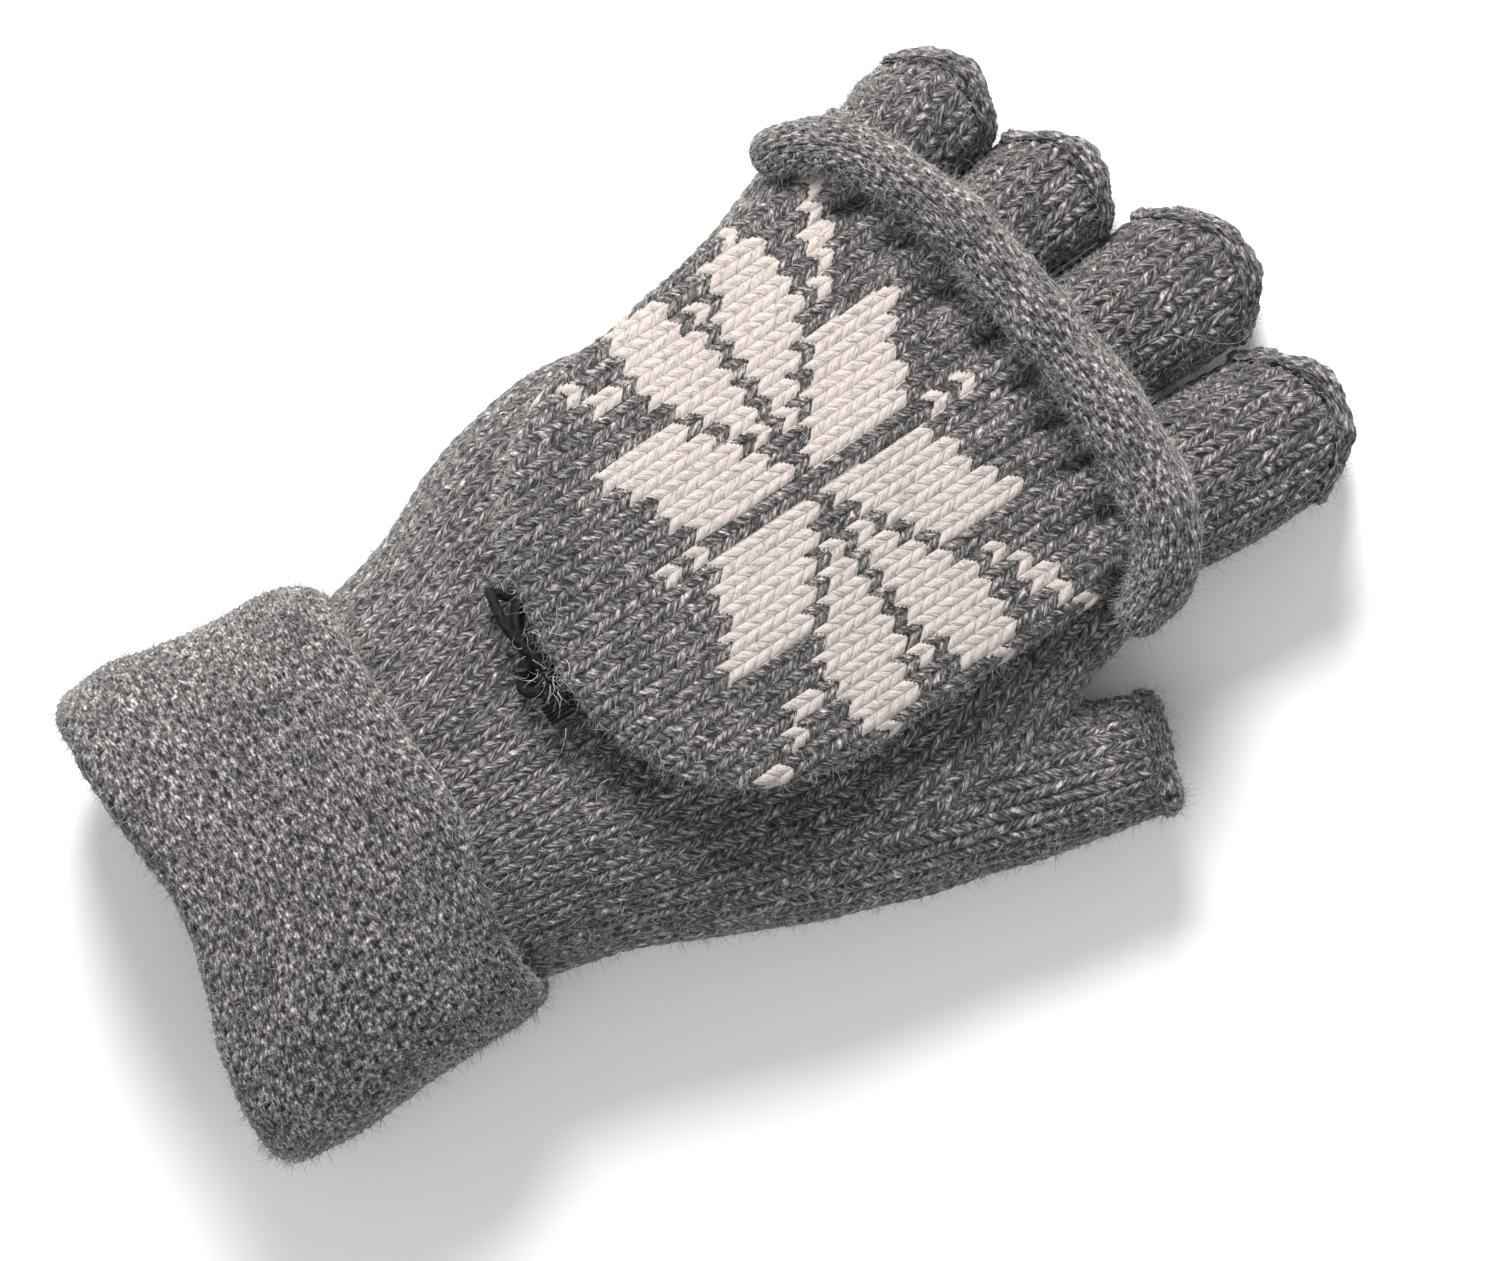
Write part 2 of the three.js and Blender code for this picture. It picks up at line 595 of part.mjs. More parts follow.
addPiece('cap_back_panel', capBack(), COLOURS.wool);
addPiece('cap_front_panel', geometryOf(capFront()), COLOURS.wool);
addPiece('cap_mouth_roll', mouthRoll(), COLOURS.cuffWool);
addPiece('cap_linking_seam', linkingSeam(), COLOURS.thread);
addPiece('button', geometryOf(button()), COLOURS.black, 0.3);
addPiece('button_thread', geometryOf(buttonThread()), COLOURS.thread);
addPiece('elastic_loop', elasticLoop(), COLOURS.black, 0.7);
addPiece('loop_tack', loopTack(), COLOURS.thread);

export default group;
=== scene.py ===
"""Looks of the convertible flip-top mitten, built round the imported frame.

Shapes are worked out in millimetres in the row frame and turned into metres when a mesh is made.
Each knitted piece is a grid over a smooth base surface, pushed out by the relief of its stitches.
"""

import math

import bpy
import numpy as np
from mathutils import Matrix, Vector


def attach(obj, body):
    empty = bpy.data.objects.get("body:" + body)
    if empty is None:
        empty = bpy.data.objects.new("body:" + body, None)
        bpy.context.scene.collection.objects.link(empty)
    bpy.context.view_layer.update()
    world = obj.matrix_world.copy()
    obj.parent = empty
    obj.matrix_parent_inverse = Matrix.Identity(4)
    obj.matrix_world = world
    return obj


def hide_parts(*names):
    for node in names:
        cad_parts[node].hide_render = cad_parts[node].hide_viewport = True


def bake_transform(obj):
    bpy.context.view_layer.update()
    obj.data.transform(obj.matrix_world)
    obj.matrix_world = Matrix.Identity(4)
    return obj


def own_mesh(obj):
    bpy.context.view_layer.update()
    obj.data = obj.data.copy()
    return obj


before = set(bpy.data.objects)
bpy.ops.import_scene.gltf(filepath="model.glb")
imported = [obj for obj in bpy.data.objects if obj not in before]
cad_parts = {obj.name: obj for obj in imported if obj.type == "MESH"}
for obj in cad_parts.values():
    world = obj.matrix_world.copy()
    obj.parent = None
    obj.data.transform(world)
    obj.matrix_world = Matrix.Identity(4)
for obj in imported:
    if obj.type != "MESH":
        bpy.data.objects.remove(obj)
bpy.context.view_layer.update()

MM = 0.001

# ---- knitting
WALE = 3.45          # width of a stitch
ROW = 2.55           # height of a stitch
LEG_RISE = 1.05      # rows that a leg of a stitch climbs on its way out
CAP_LEG_RISE = 0.72  # the cap is stretched sideways, so that its stitches lie flatter
KNIT_RELIEF = 0.75   # height of the legs over the grooves
PURL_RELIEF = 0.6
KNIT_FLOOR = 0.25    # height where two rows meet
LEG_SHARE = 0.94     # part of half a stitch that its leg takes up
LEG_BLUNTNESS = 0.55
PURL_BOW = 0.22
KNIT_UNEVEN = (0.82, 1.12)  # heights of single legs and bumps
PURL_UNEVEN = (0.8, 1.15)
CREAM_FULLNESS = 0.45  # the cream yarn is fuller, so that its stitches stand closer together
FABRIC = 2.2         # thickness of the fabric
SURFACE_INSET = 0.45  # the base surface lies this far inside the solid, so that stitches reach it
ROW_STEP = ROW / 5   # mesh steps along the tubes
FINE_STEP = ROW / 6
RING_STEPS = 720

# Bulges and lumps of the fabric: height, size, seed.
BULGES = {
    "hand": (0.35, 26.0, 3),
    "cuff": (0.8, 38.0, 5),
    "cuff lumps": (0.25, 12.0, 6),
    "thumb": (0.2, 17.0, 72),
    "thumb roll": (0.4, 9.0, 71),
    "cap": (0.35, 21.0, 31),
    "mouth roll": (0.35, 11.0, 41),
    "mouth roll lumps": (0.35, 12.0, 43),
}

# ---- hand, wrist and cuff
# Sections of the hand: y, left x, right x, underside z, top z, roundness.
HAND_SECTIONS = [
    [-50, -37.5, 26.5, 3.4, 41.5, 2.2],
    [-36, -41.0, 30.5, 1.6, 39.8, 2.3],
    [-20, -47.5, 37.0, -0.8, 37.6, 2.4],
    [-4, -50.5, 42.6, -0.9, 35.8, 2.4],
    [12, -48.8, 44.2, -0.9, 34.8, 2.5],
    [25, -51.0, 42.0, -0.4, 34.2, 2.7],
    [36, -53.8, 38.8, 4.0, 33.6, 2.9],
    [48, -57.6, 35.4, 5.6, 32.8, 3.2],
    [60, -59.4, 32.2, 6.4, 30.6, 3.6],
]
HAND_START_Y = -50.0
KNUCKLE_Y = 60.0
HAND_WALES = 58      # stitches round the hand
HAND_END_RADIUS = 3.0  # the fabric turns in between the fingers
HAND_END_INSETS = (5.0, 7.0, 9.0)
HAND_LINING = [(2.0, 7.0), (6.0, 4.0)]  # distance back from the knuckles, inset
LINING_STEP = 9.0
FILLET = 9.0         # the hand and the thumb run into each other over this distance
WRIST = dict(left=-37.2, right=25.8, under=4.2, top=42.0, end=-80.7, roundness=2.2, change=20.0)

# Sections of the cuff: y, left x, right x.
CUFF_SECTIONS = [
    [-46.8, -40.6, 30.6],
    [-50.0, -43.4, 31.4],
    [-55.0, -44.8, 31.6],
    [-65.0, -45.2, 31.8],
    [-73.0, -46.8, 31.8],
    [-78.0, -48.6, 31.8],
    [-80.7, -48.8, 31.7],
]
CUFF_TOP_Z = 46.0
CUFF_WALL = 3.0
CUFF_ROUNDNESS = 2.35
CUFF_EDGE_RADIUS = 1.7
CUFF_FOLD_RADIUS = 4.4
CUFF_FOLD_GAP = 0.7  # the fold's centre lies this much further down than its radius asks for
# The fold hangs lower at the thumb side, and the free edge hangs back there.
CUFF_SKEW = dict(start=-56.0, end=-81.0, base=0.6, side=9.4, under=2.2, from_x=-14.0, width=42.0)
CUFF_SLANT = dict(drop=4.5, start=-68.0, length=20.0, from_x=-5.0, width=35.0)
CUFF_WALES = 62

# ---- fingers and thumb
# Finger tubes: centre x and half width at the knuckles and at the tip, y where the roll ends, radius of
# the roll, stitches round, and how far the end curves back at its left and right side.
FINGERS = {
    "pinky": dict(base=(-48.6, 9.8), tip=(-50.4, 8.9), end=81.6, roll=2.7, wales=17, back=(8.5, 3.5)),
    "ring": dict(base=(-28.6, 9.7), tip=(-30.0, 9.1), end=89.6, roll=2.6, wales=18, back=(7.5, 3.5)),
    "middle": dict(base=(-7.0, 11.4), tip=(-6.8, 10.9), end=101.5, roll=2.7, wales=20, back=(8.5, 6.5)),
    "index": dict(base=(18.0, 13.1), tip=(19.8, 11.6), end=101.3, roll=2.7, wales=21, back=(8.5, 9.5)),
}
FINGER_Z = 18.0      # height of the centre lines
FINGER_DEPTH = (10.9, 9.6)  # half height at the knuckles and at the tip
FINGER_ROUNDNESS = 2.3
STUB_FLARE = 1.2     # a tube is this much wider at its end
ROLL_SHARE = 0.74    # the rolls look thinner than their solids
ROLL_INSET = 1.1     # the roll's centre line lies this far inside the tube's outside
ROLL_ARC = (-112, 232)  # degrees of the roll that show
ROLL_NECK = 0.8      # the tube meets the roll this many radii before its centre
STUB_GAP = 0.35      # between the end of the tube and the solid's roll
STUB_BACK_CURVE = 2.4  # higher values keep the curving back closer to the sides
STUB_START_Y = 58.5
STUB_LUMPS = (0.5, 9.0)    # height, size
STUB_BULGES = (0.3, 17.0)
STUB_WAIST = 0.35    # the tube narrows this much before its roll
KNUCKLE_BEND = (46.0, 60.5)   # heights where the fabric bends at the knuckle; the sleeve is fixed in place and does not bend
KNUCKLE_SLEEVE = dict(start=42.0, end=62.5, inset=0.3)

THUMB_TIP = np.array([52.4, 49.5])
THUMB_LEAN = math.radians(18.5)
THUMB_AXIS = np.array([math.sin(THUMB_LEAN), math.cos(THUMB_LEAN)])
THUMB_ACROSS = np.array([math.cos(THUMB_LEAN), -math.sin(THUMB_LEAN)])
THUMB_Z = 14.0
THUMB_FREE = 12.0    # length of the tube beyond the gusset
THUMB_OVERLAP = 1.5
THUMB_ROLL = 2.3
THUMB_ROUNDNESS = 2.2
GUSSET = dict(root=-82.0, end=-11.5, inset=0.2)  # counted back from the thumb's tip
GUSSET_BEND = (26.0, 12.5)  # distances from the tip where the gusset bends with the thumb; it is fixed in place and does not bend
THUMB_WALES = 18
# Distance back from the tip, half width, half depth, centre z.
THUMB_SECTIONS = [
    [0, 8.6, 8.8, 14],
    [12, 10.5, 10.4, 14],
    [30, 11.8, 12.0, 14],
    [60, 10.6, 13.0, 15],
    [84, 7.0, 9.0, 17],
]

# ---- the cap, folded back
CAP_CENTRE_X = -9.5
CAP_RIGHT = 26.5
CAP_LEFT = -48.6
CAP_LEFT_MOUTH = -56.6
CAP_ROUND_Y = 12.0
CAP_TIP_Y = -22.8
CAP_ROUNDNESS = 2.2
CAP_MOUTH_Y = 60.0
CAP_DROOP = 2.5
CAP_MIDDLE_X = -12.0
CAP_DROOP_HALF = 40.0
CAP_MOUTH_FLOOR = 31.6
CAP_TIP_FLOOR = 43.1
CAP_LEVEL_Y = -9.0
CAP_HEIGHT = 5.6
HINGE_Y = 50.0
SEAM = dict(z=34.1, left=-36.0, right=14.0)

# Roll of the cap's mouth: centre x, y, z and radius along its length.
MOUTH_ROLL = [
    [-58.0, 44.5, 31.6, 3.5],
    [-57.4, 49.5, 34.2, 3.9],
    [-54.6, 54.4, 36.4, 4.3],
    [-49.6, 58.8, 38.6, 4.6],
    [-39.0, 63.4, 40.4, 4.9],
    [-24.0, 66.6, 41.2, 5.2],
    [-6.0, 68.4, 41.4, 5.5],
    [10.0, 68.7, 41.2, 5.7],
    [21.0, 67.0, 40.4, 5.6],
    [28.0, 62.6, 38.0, 5.0],
    [31.2, 57.4, 35.4, 4.2],
    [33.2, 52.6, 33.2, 3.5],
]
ROLL_COLUMNS = 88
ROLL_ROWS = 13

CAP_EDGE = 4.6       # width of the rounded edge, seen from above
CAP_SPREAD = 37.5    # half width that the grid's unit stands for
CAP_FLAT = 1 - CAP_EDGE / CAP_SPREAD
EDGE_ARC = 11.8      # length of fabric round the edge
CAP_REACH = CAP_FLAT + EDGE_ARC / CAP_SPREAD
CAP_STEP = 0.45      # mesh steps along the fabric
CAP_PAST_MOUTH = 6.0
CAP_FULLNESS = (0.84, 1.0)  # share of the height at the edge and in the middle
CAP_BACK_REACH = CAP_FLAT + 0.02
CAP_BACK_END_Y = 50.6
CAP_BACK_SAG = 0.3
GATHER_SPACING = 8.6
GATHER_SWAY = (1.5, 9.0)    # the gathers are unevenly spaced: by how much, over what width
GATHER_WIDTH = 0.5
GATHER_DEPTH = 2.3
GATHER_DIP = 1.0
GATHER_START = 4.0
GATHER_FADE = 8.0
PLEAT_CLIMB = 13.0   # the fabric climbs into the roll over this length on its pleats
HOLLOW_CLIMB = 4.0

# Heights over the cap's sloping underside where it opens, and places at the seam where its back bends; the
# pieces are fixed in place and do not open or bend.
OPENING = dict(low=0.0, high=5.0, slope=1 / 6)
SEAM_BEND = (52.0, 45.5)
SEAM_FADE = 2.0

# ---- the star: columns and rows counted in stitches from its centre
STAR_CENTRE = (-12.5, 25.0)
# Upright petals: first and last row of each column out from the middle.
UPRIGHT_PETAL = [(2, 7), (3, 8), (3, 8), (4, 9), (5, 10)]
# Level petals: first and last column of each row out from the middle.
LEVEL_PETAL = [(3, 8), (4, 10), (5, 10), (6, 11), (7, 10)]
STAR_HEART = [(1, 1), (2, 2)]
# Single stitches, column and row: the columns count to both sides, and rows to the tip are negative.
STAR_SPARKS = [(0, 9), (0, 11), (9, 0), (0, -8), (0, -10)]
STAR_CHAIN = [
    (7, 7), (8, 8), (9, 8), (9, 9), (10, 9), (11, 10),
    (8, -7), (8, -8), (9, -9), (10, -11), (10, -12),
]

# ---- cords, thread and button
BUTTON = dict(x=-15.5, y=-17.2, hole=0.85, spread=1.1)
# Profile of the button: distance from its middle, height.
BUTTON_PROFILE = [
    (0.0, 40.5), (5.0, 40.5), (8.0, 40.6), (9.0, 41.2), (9.0, 42.0), (8.6, 42.7), (7.7, 42.85),
    (7.1, 42.6), (6.8, 42.15), (6.0, 42.1), (0.0, 42.1),
]
BUTTON_SIDES = 96
DRILL_SIDES = 24
DRILL_HEIGHTS = (38.0, 45.0)
OBLIQUE = (0.31, 0.2, 0.93)  # a direction that no cord starts along
LOOP_RADIUS = 0.85
# Where the elastic runs: from the cap's tip round the button's rim to its shank, and back.
LOOP_ROUTE = [
    (-8.0, -24.0, 43.6), (-13.0, -24.6, 44.0), (-19.5, -25.6, 43.9), (-24.6, -25.0, 41.8),
    (-25.0, -24.5, 40.0), (-22.0, -21.4, 39.4), (-19.0, -18.0, 39.4), (-17.4, -14.9, 39.4),
    (-14.6, -14.1, 39.4), (-12.4, -16.2, 39.4), (-12.2, -20.0, 39.4), (-11.8, -25.6, 39.4),
    (-11.2, -28.3, 40.4), (-10.0, -28.6, 42.0), (-8.2, -26.6, 43.6),
]
# The thread that tacks the loop to the cap: windings along x, and stitches into the cap.
TACK = dict(turns=5, start=-6.5, length=3.2, y=-25.4, z=43.6, reach=2.4, height=1.0, radius=0.32)
TACK_STITCHES = (-6.2, -5.0, -3.8)
TACK_STITCH = [(0.0, -26.6, 43.6), (0.0, -25.6, 44.7), (0.2, -23.4, 44.6), (0.0, -20.6, 43.9)]
# A strand over the button: distance from its middle in hole distances, height.
STRAND = [(-1, 39.8), (-1, 42.0), (-0.6, 42.75), (0, 42.95), (0.6, 42.75), (1, 42.0), (1, 39.8)]
STRAND_SHIFTS = (-0.32, 0.0, 0.32)
STRAND_RADIUS = 0.22
STRAND_CROSSING = 0.15
SHANK = dict(turns=9, radius=1.15, z=36.6, length=3.6)
THREAD_RADIUS = 0.3
CHAIN = dict(stitch=3.6, width=0.55, height=0.35, radius=0.62)

# ---- loose fibres
FUZZ = dict(radius=0.045, lean=0.85, curl=0.34, length=(1.2, 4.2), depth=0.2)
CURL_RADIUS = 0.04
CURL_SPREAD = (1.0, 1.0, 0.25)  # curls lie flatter than they are wide
FIBRE_TAPER = 0.85
FIBRE_WANDER = 0.6
FIBRE_SIDE = (0.3, 0.2, 0.93)  # a direction that no fibre follows

# ---- camera, floor and light
VIEW_RIGHT = Vector((0.5505, 0.8348, 0.0))
VIEW_UP = Vector((-0.8348, 0.5505, 0.0))
VIEW_CENTRE = Vector((1.14, 4.94, 24.0)) * MM
VIEW_WIDTH = 230.8 * MM
LENS = 200.0
SENSOR = 36.0
FLOOR_SIZE = 1500.0
FLOOR_Z = -0.3
SKY_COLOUR = (0.98, 0.99, 1.0, 1.0)
SKY_STRENGTH = 0.5


def smooth(t):
    t = np.clip(t, 0.0, 1.0)
    return t * t * (3 - 2 * t)


def lerp(a, b, t):
    return a + (b - a) * t


def unit(vectors):
    return vectors / np.maximum(np.linalg.norm(vectors, axis=-1, keepdims=True), 1e-9)


def along(table, at):
    """Smooth values between the rows of a table: cubic pieces through every row."""
    rows = np.array(table, float)
    if rows[0, 0] > rows[-1, 0]:
        rows = rows[::-1]
    x, values = rows[:, 0], rows[:, 1:]
    at = np.clip(np.atleast_1d(np.asarray(at, float)), x[0], x[-1])
    slopes = np.gradient(values, x, axis=0)
    k = np.clip(np.searchsorted(x, at, side="right") - 1, 0, len(x) - 2)
    span = (x[k + 1] - x[k])[:, None]
    t = (at - x[k])[:, None] / span
    start = (1 + 2 * t) * (1 - t) ** 2 * values[k] + t * (1 - t) ** 2 * span * slopes[k]
    end = t * t * (3 - 2 * t) * values[k + 1] - t * t * (1 - t) * span * slopes[k + 1]
    return start + end


def wobble(points, size, seed):
    """Smooth noise between about -1 and 1 at points, with bumps about size across."""
    rng = np.random.default_rng(seed)
    total = np.zeros(points.shape[:-1])
    for _ in range(9):
        direction = unit(rng.normal(size=3))
        wave = rng.uniform(0.7, 1.5) * 2 * math.pi / size
        total += np.sin(points @ direction * wave + rng.uniform(0, 2 * math.pi))
    return total / 4.0


def bulge(name, points):
    height, size, seed = BULGES[name]
    return height * wobble(points, size, seed)


def stitch_random(column, row, seed):
    """A fixed random number from 0 to 1 for each stitch."""
    mixed = np.sin(column * 12.9898 + row * 78.233 + seed * 37.719) * 43758.5453
    return mixed - np.floor(mixed)


# ---- stitch relief
def off_middle(a):
    """0 in the middle of a column of stitches, 1 at its sides."""
    return np.abs(2 * (a - np.floor(a)) - 1)


def half_round(r):
    """Height of a half circle that stands over 0 to 1."""
    return np.sqrt(np.clip(1 - (2 * r - 1) ** 2, 0, 1))


def knit_height(a, b, rise):
    """Height from 0 to 1 of the right side of the fabric, at column a and row b."""
    s = off_middle(a)
    phase = b - rise * s
    yarn = half_round(phase - np.floor(phase))
    leg = np.sin(math.pi * (s * LEG_SHARE + (1 - LEG_SHARE) / 2)) ** LEG_BLUNTNESS
    return lerp(KNIT_FLOOR, 1.0, yarn) * leg


def purl_height(a, b):
    """Height from 0 to 1 of the wrong side: two staggered bumps to a stitch, bowed up and down."""
    half_row = np.floor(2 * b)
    upper = half_row % 2
    s = off_middle(a + 0.5 * upper)
    bow = np.where(upper > 0, PURL_BOW, -PURL_BOW) * (s * s - 0.3)
    bump = half_round(np.clip(2 * b - half_row + bow, 0, 1))
    return bump * np.clip(1.15 - s ** 2.2, 0, 1)


def stitch_relief(a, b, purl, seed, rise=LEG_RISE):
    """Relief in millimetres and from 0 to 1, and a number for each leg; purl is 1 on the wrong side."""
    knit = knit_height(a, b, rise)
    wrong = purl_height(a, b)
    leg = 2 * np.floor(a) + (a - np.floor(a) > 0.5)
    own = stitch_random(leg, np.floor(b - rise * off_middle(a)), seed)
    knit_relief = knit * KNIT_RELIEF * lerp(*KNIT_UNEVEN, own)
    purl_relief = wrong * PURL_RELIEF * lerp(*PURL_UNEVEN, own)
    return lerp(knit_relief, purl_relief, purl), lerp(knit, wrong, purl), own


# ---- grids and meshes
def grid_normals(points, closed_u, closed_v):
    """Unit normals of a grid of points; they point out where u runs round and v runs along."""
    def slope(axis, closed):
        if closed:
            return np.roll(points, -1, axis) - np.roll(points, 1, axis)
        return np.gradient(points, axis=axis)
    return unit(np.cross(slope(0, closed_v), slope(1, closed_u)))


def grid_faces(rows, columns, closed_u, closed_v, offset=0, turned=False):
    i = np.arange(rows if closed_v else rows - 1)
    j = np.arange(columns if closed_u else columns - 1)
    i, j = np.meshgrid(i, j, indexing="ij")
    i2, j2 = (i + 1) % rows, (j + 1) % columns
    corners = [i * columns + j, i2 * columns + j, i2 * columns + j2, i * columns + j2]
    if turned:
        corners = corners[::-1]
    return np.stack([c.ravel() for c in corners], axis=1) + offset


def show(name, data):
    """An object in the scene for a mesh, a camera or a light."""
    piece = bpy.data.objects.new(name, data)
    bpy.context.scene.collection.objects.link(piece)
    return piece


def mesh_object(name, points, faces, uv=None, values=None):
    """An object from points in millimetres and quads; uv is per corner, values are per vertex."""
    mesh = bpy.data.meshes.new(name)
    points = np.asarray(points, float).reshape(-1, 3) * MM
    faces = np.asarray(faces, np.int32)
    mesh.vertices.add(len(points))
    mesh.vertices.foreach_set("co", points.ravel())
    mesh.loops.add(faces.size)
    mesh.loops.foreach_set("vertex_index", faces.ravel())
    mesh.polygons.add(len(faces))
    mesh.polygons.foreach_set("loop_start", np.arange(0, faces.size, faces.shape[1], dtype=np.int32))
    mesh.polygons.foreach_set("use_smooth", np.ones(len(faces), bool))
    mesh.update(calc_edges=True)
    if uv is not None:
        layer = mesh.uv_layers.new(name="knit")
        layer.data.foreach_set("uv", np.asarray(uv, np.float32).ravel())
    for key, value in (values or {}).items():
        attribute = mesh.attributes.new(key, "FLOAT", "POINT")
        attribute.data.foreach_set("value", np.asarray(value, np.float32).ravel())
    mesh.validate()
    return show(name, mesh)


def wrapped_uv(a, b, faces, columns, around):
    """Stitch coordinates at each face corner; around is what a tube adds to them as it closes."""
    first = faces % columns == 0
    wraps = first & (faces % columns == columns - 1).any(axis=1, keepdims=True)
    both = [value.ravel()[faces] + np.where(wraps, more, 0.0) for value, more in zip((a, b), around)]
    return np.stack(both, axis=-1)


def even_ring(points, count):
    """A closed ring of points resampled at even steps of its length."""
    closed = np.vstack([points, points[:1]])
    lengths = np.linalg.norm(np.diff(closed, axis=0), axis=1)
    arc = np.concatenate([[0.0], np.cumsum(lengths)])
    at = np.linspace(0, arc[-1], count, endpoint=False)
    return np.stack([np.interp(at, arc, closed[:, k]) for k in range(3)], axis=1)


def ellipse_ring(half_width, half_height, exponent):
    """Offsets across and up of a superellipse, from its lowest point round by the +across side."""
    angle = np.linspace(-math.pi / 2, 1.5 * math.pi, RING_STEPS, endpoint=False)
    c, s = np.cos(angle), np.sin(angle)
    across = np.sign(c) * np.abs(c) ** (2 / exponent) * half_width
    up = np.sign(s) * np.abs(s) ** (2 / exponent) * half_height
    return across, up


def upright_ring(y, left, right, under, top, exponent, inset=0.0):
    across, up = ellipse_ring((right - left) / 2 - inset, (top - under) / 2 - inset, exponent)
    x = (left + right) / 2 + across
    z = (under + top) / 2 + up
    return np.stack([x, np.full_like(x, y), z], axis=1)


def knit_tube(name, points, a, b, purl, seed, lift):
    """A knitted tube: pushed out by its stitches, with its stitch coordinates kept for the shader."""
    a, b, purl = (np.broadcast_to(x, points.shape[:2]) for x in (a, b, purl))
    points = points + grid_normals(points, True, True) * lift[..., None]
    height, share, own = stitch_relief(a, b, purl, seed)
    normals = grid_normals(points, True, True)
    points = points + normals * (height - SURFACE_INSET)[..., None]
    faces = grid_faces(*points.shape[:2], True, True)
    wales = a[0, -1] + a[0, 1]
    uv = wrapped_uv(a, b, faces, points.shape[1], (wales, 0.0))
    values = dict(relief=share, purl=purl, tint=own, cream=np.zeros_like(share))
    return mesh_object(name, points, faces, uv, values), points, normals


def profile_tube(name, ring_at, profile, wales, seed, start_row, per_wale=8, shape=None):
    """A closed skin from a profile of (place along, inset, wrong side out) round a ring."""
    place, inset, purl = np.array(profile, float).T
    columns = wales * per_wale
    points = np.stack([even_ring(ring_at(y, d), columns) for y, d in zip(place, inset)])
    lift = shape(points, purl[:, None]) if shape else np.zeros(points.shape[:2])
    length = np.concatenate([[0.0], np.cumsum(np.hypot(np.diff(place), np.diff(inset)))])
    a = np.arange(columns)[None, :] / per_wale
    b = start_row + length[:, None] / ROW
    return knit_tube(name, points, a, b, purl[:, None], seed, lift)


# ---- wool and other materials
class Shader:
    """A material whose nodes are added and linked by short calls."""

    def __init__(self, name):
        self.material = bpy.data.materials.new(name)
        self.material.use_nodes = True
        self.tree = self.material.node_tree
        self.tree.nodes.clear()
        output = self.tree.nodes.new("ShaderNodeOutputMaterial")
        self.surface = self.tree.nodes.new("ShaderNodeBsdfPrincipled")
        self.tree.links.new(self.surface.outputs[0], output.inputs["Surface"])

    def put(self, socket, value):
        if isinstance(value, bpy.types.NodeSocket):
            self.tree.links.new(value, socket)
        else:
            socket.default_value = value

    def node(self, kind, inputs, output=0, **settings):
        """One output of a new node."""
        node = self.tree.nodes.new("ShaderNode" + kind)
        for key, value in settings.items():
            setattr(node, key, value)
        for key, value in inputs.items():
            self.put(node.inputs[key], value)
        return node.outputs[output]

    def math(self, operation, a, b=0.0, clamp=False):
        return self.node("Math", {0: a, 1: b}, operation=operation, use_clamp=clamp)

    def plus(self, a, b):
        return self.math("ADD", a, b)

    def minus(self, a, b):
        return self.math("SUBTRACT", a, b)

    def times(self, a, b):
        return self.math("MULTIPLY", a, b)

    def attribute(self, name):
        return self.node("Attribute", {}, "Fac", attribute_name=name)

    def vector(self, x, y, z):
        return self.node("CombineXYZ", {0: x, 1: y, 2: z})

    def stitch_coordinates(self):
        """Column and row."""
        split = self.tree.nodes.new("ShaderNodeSeparateXYZ")
        self.put(split.inputs[0], self.node("UVMap", {}, uv_map="knit"))
        return split.outputs[0], split.outputs[1]

    def place(self):
        return self.node("TexCoord", {}, "Object")

    def noise(self, vector, scale, detail=2.0, roughness=0.5):
        return self.node("TexNoise", dict(Vector=vector, Scale=scale, Detail=detail, Roughness=roughness))

    def ramp(self, factor, stops):
        node = self.tree.nodes.new("ShaderNodeValToRGB")
        elements = node.color_ramp.elements
        while len(elements) < len(stops):
            elements.new(0.5)
        for element, (position, colour) in zip(elements, stops):
            element.position = position
            element.color = (*colour, 1.0)
        self.put(node.inputs[0], factor)
        return node.outputs[0]

    def mix(self, factor, a, b, kind="RGBA", blend="MIX"):
        first = {"FLOAT": 2, "VECTOR": 4, "RGBA": 6}[kind]
        inputs = {0: factor, first: a, first + 1: b}
        return self.node("Mix", inputs, first // 2 - 1, data_type=kind, blend_type=blend)

    def remap(self, *inputs):
        """Smooth steps: value, low, high, what low becomes, what high becomes."""
        return self.node("MapRange", dict(enumerate(inputs)), interpolation_type="SMOOTHSTEP")

    def grey(self, value):
        return self.node("CombineColor", {0: value, 1: value, 2: value})

    def bump(self, height, distance, strength):
        normal = self.node("Bump", dict(Strength=strength, Distance=distance, Height=height))
        self.put(self.surface.inputs["Normal"], normal)

    def specular(self, level):
        self.surface.inputs["Specular IOR Level"].default_value = level

    def set(self, **values):
        for name, value in values.items():
            self.put(self.surface.inputs[name.replace("_", " ")], value)


# Melange greys as multiples of the yarn's tone, and the shades of the cream yarn.
GREY_LEVELS = [(0.3, 0.06), (0.42, 0.3), (0.52, 0.9), (0.6, 2.0), (0.7, 4.6)]
GREY_WARMTH = (1.0, 0.935, 0.92)
CREAM_STOPS = [(0.3, (0.35, 0.307, 0.281)), (0.5, (0.435, 0.388, 0.362)), (0.72, (0.51, 0.463, 0.437))]
FLECK_ACROSS = 2.6    # flecks to a millimetre across a leg, and along it
FLECK_ALONG = 0.75
PURL_FLECKS = (1.15, 2.6)
LANE_STEPS = (5.13, 2.31)  # these set the flecks of neighbouring columns and legs apart


def grey_stops(tone):
    return [(at, tuple(tone * level * w for w in GREY_WARMTH)) for at, level in GREY_LEVELS]


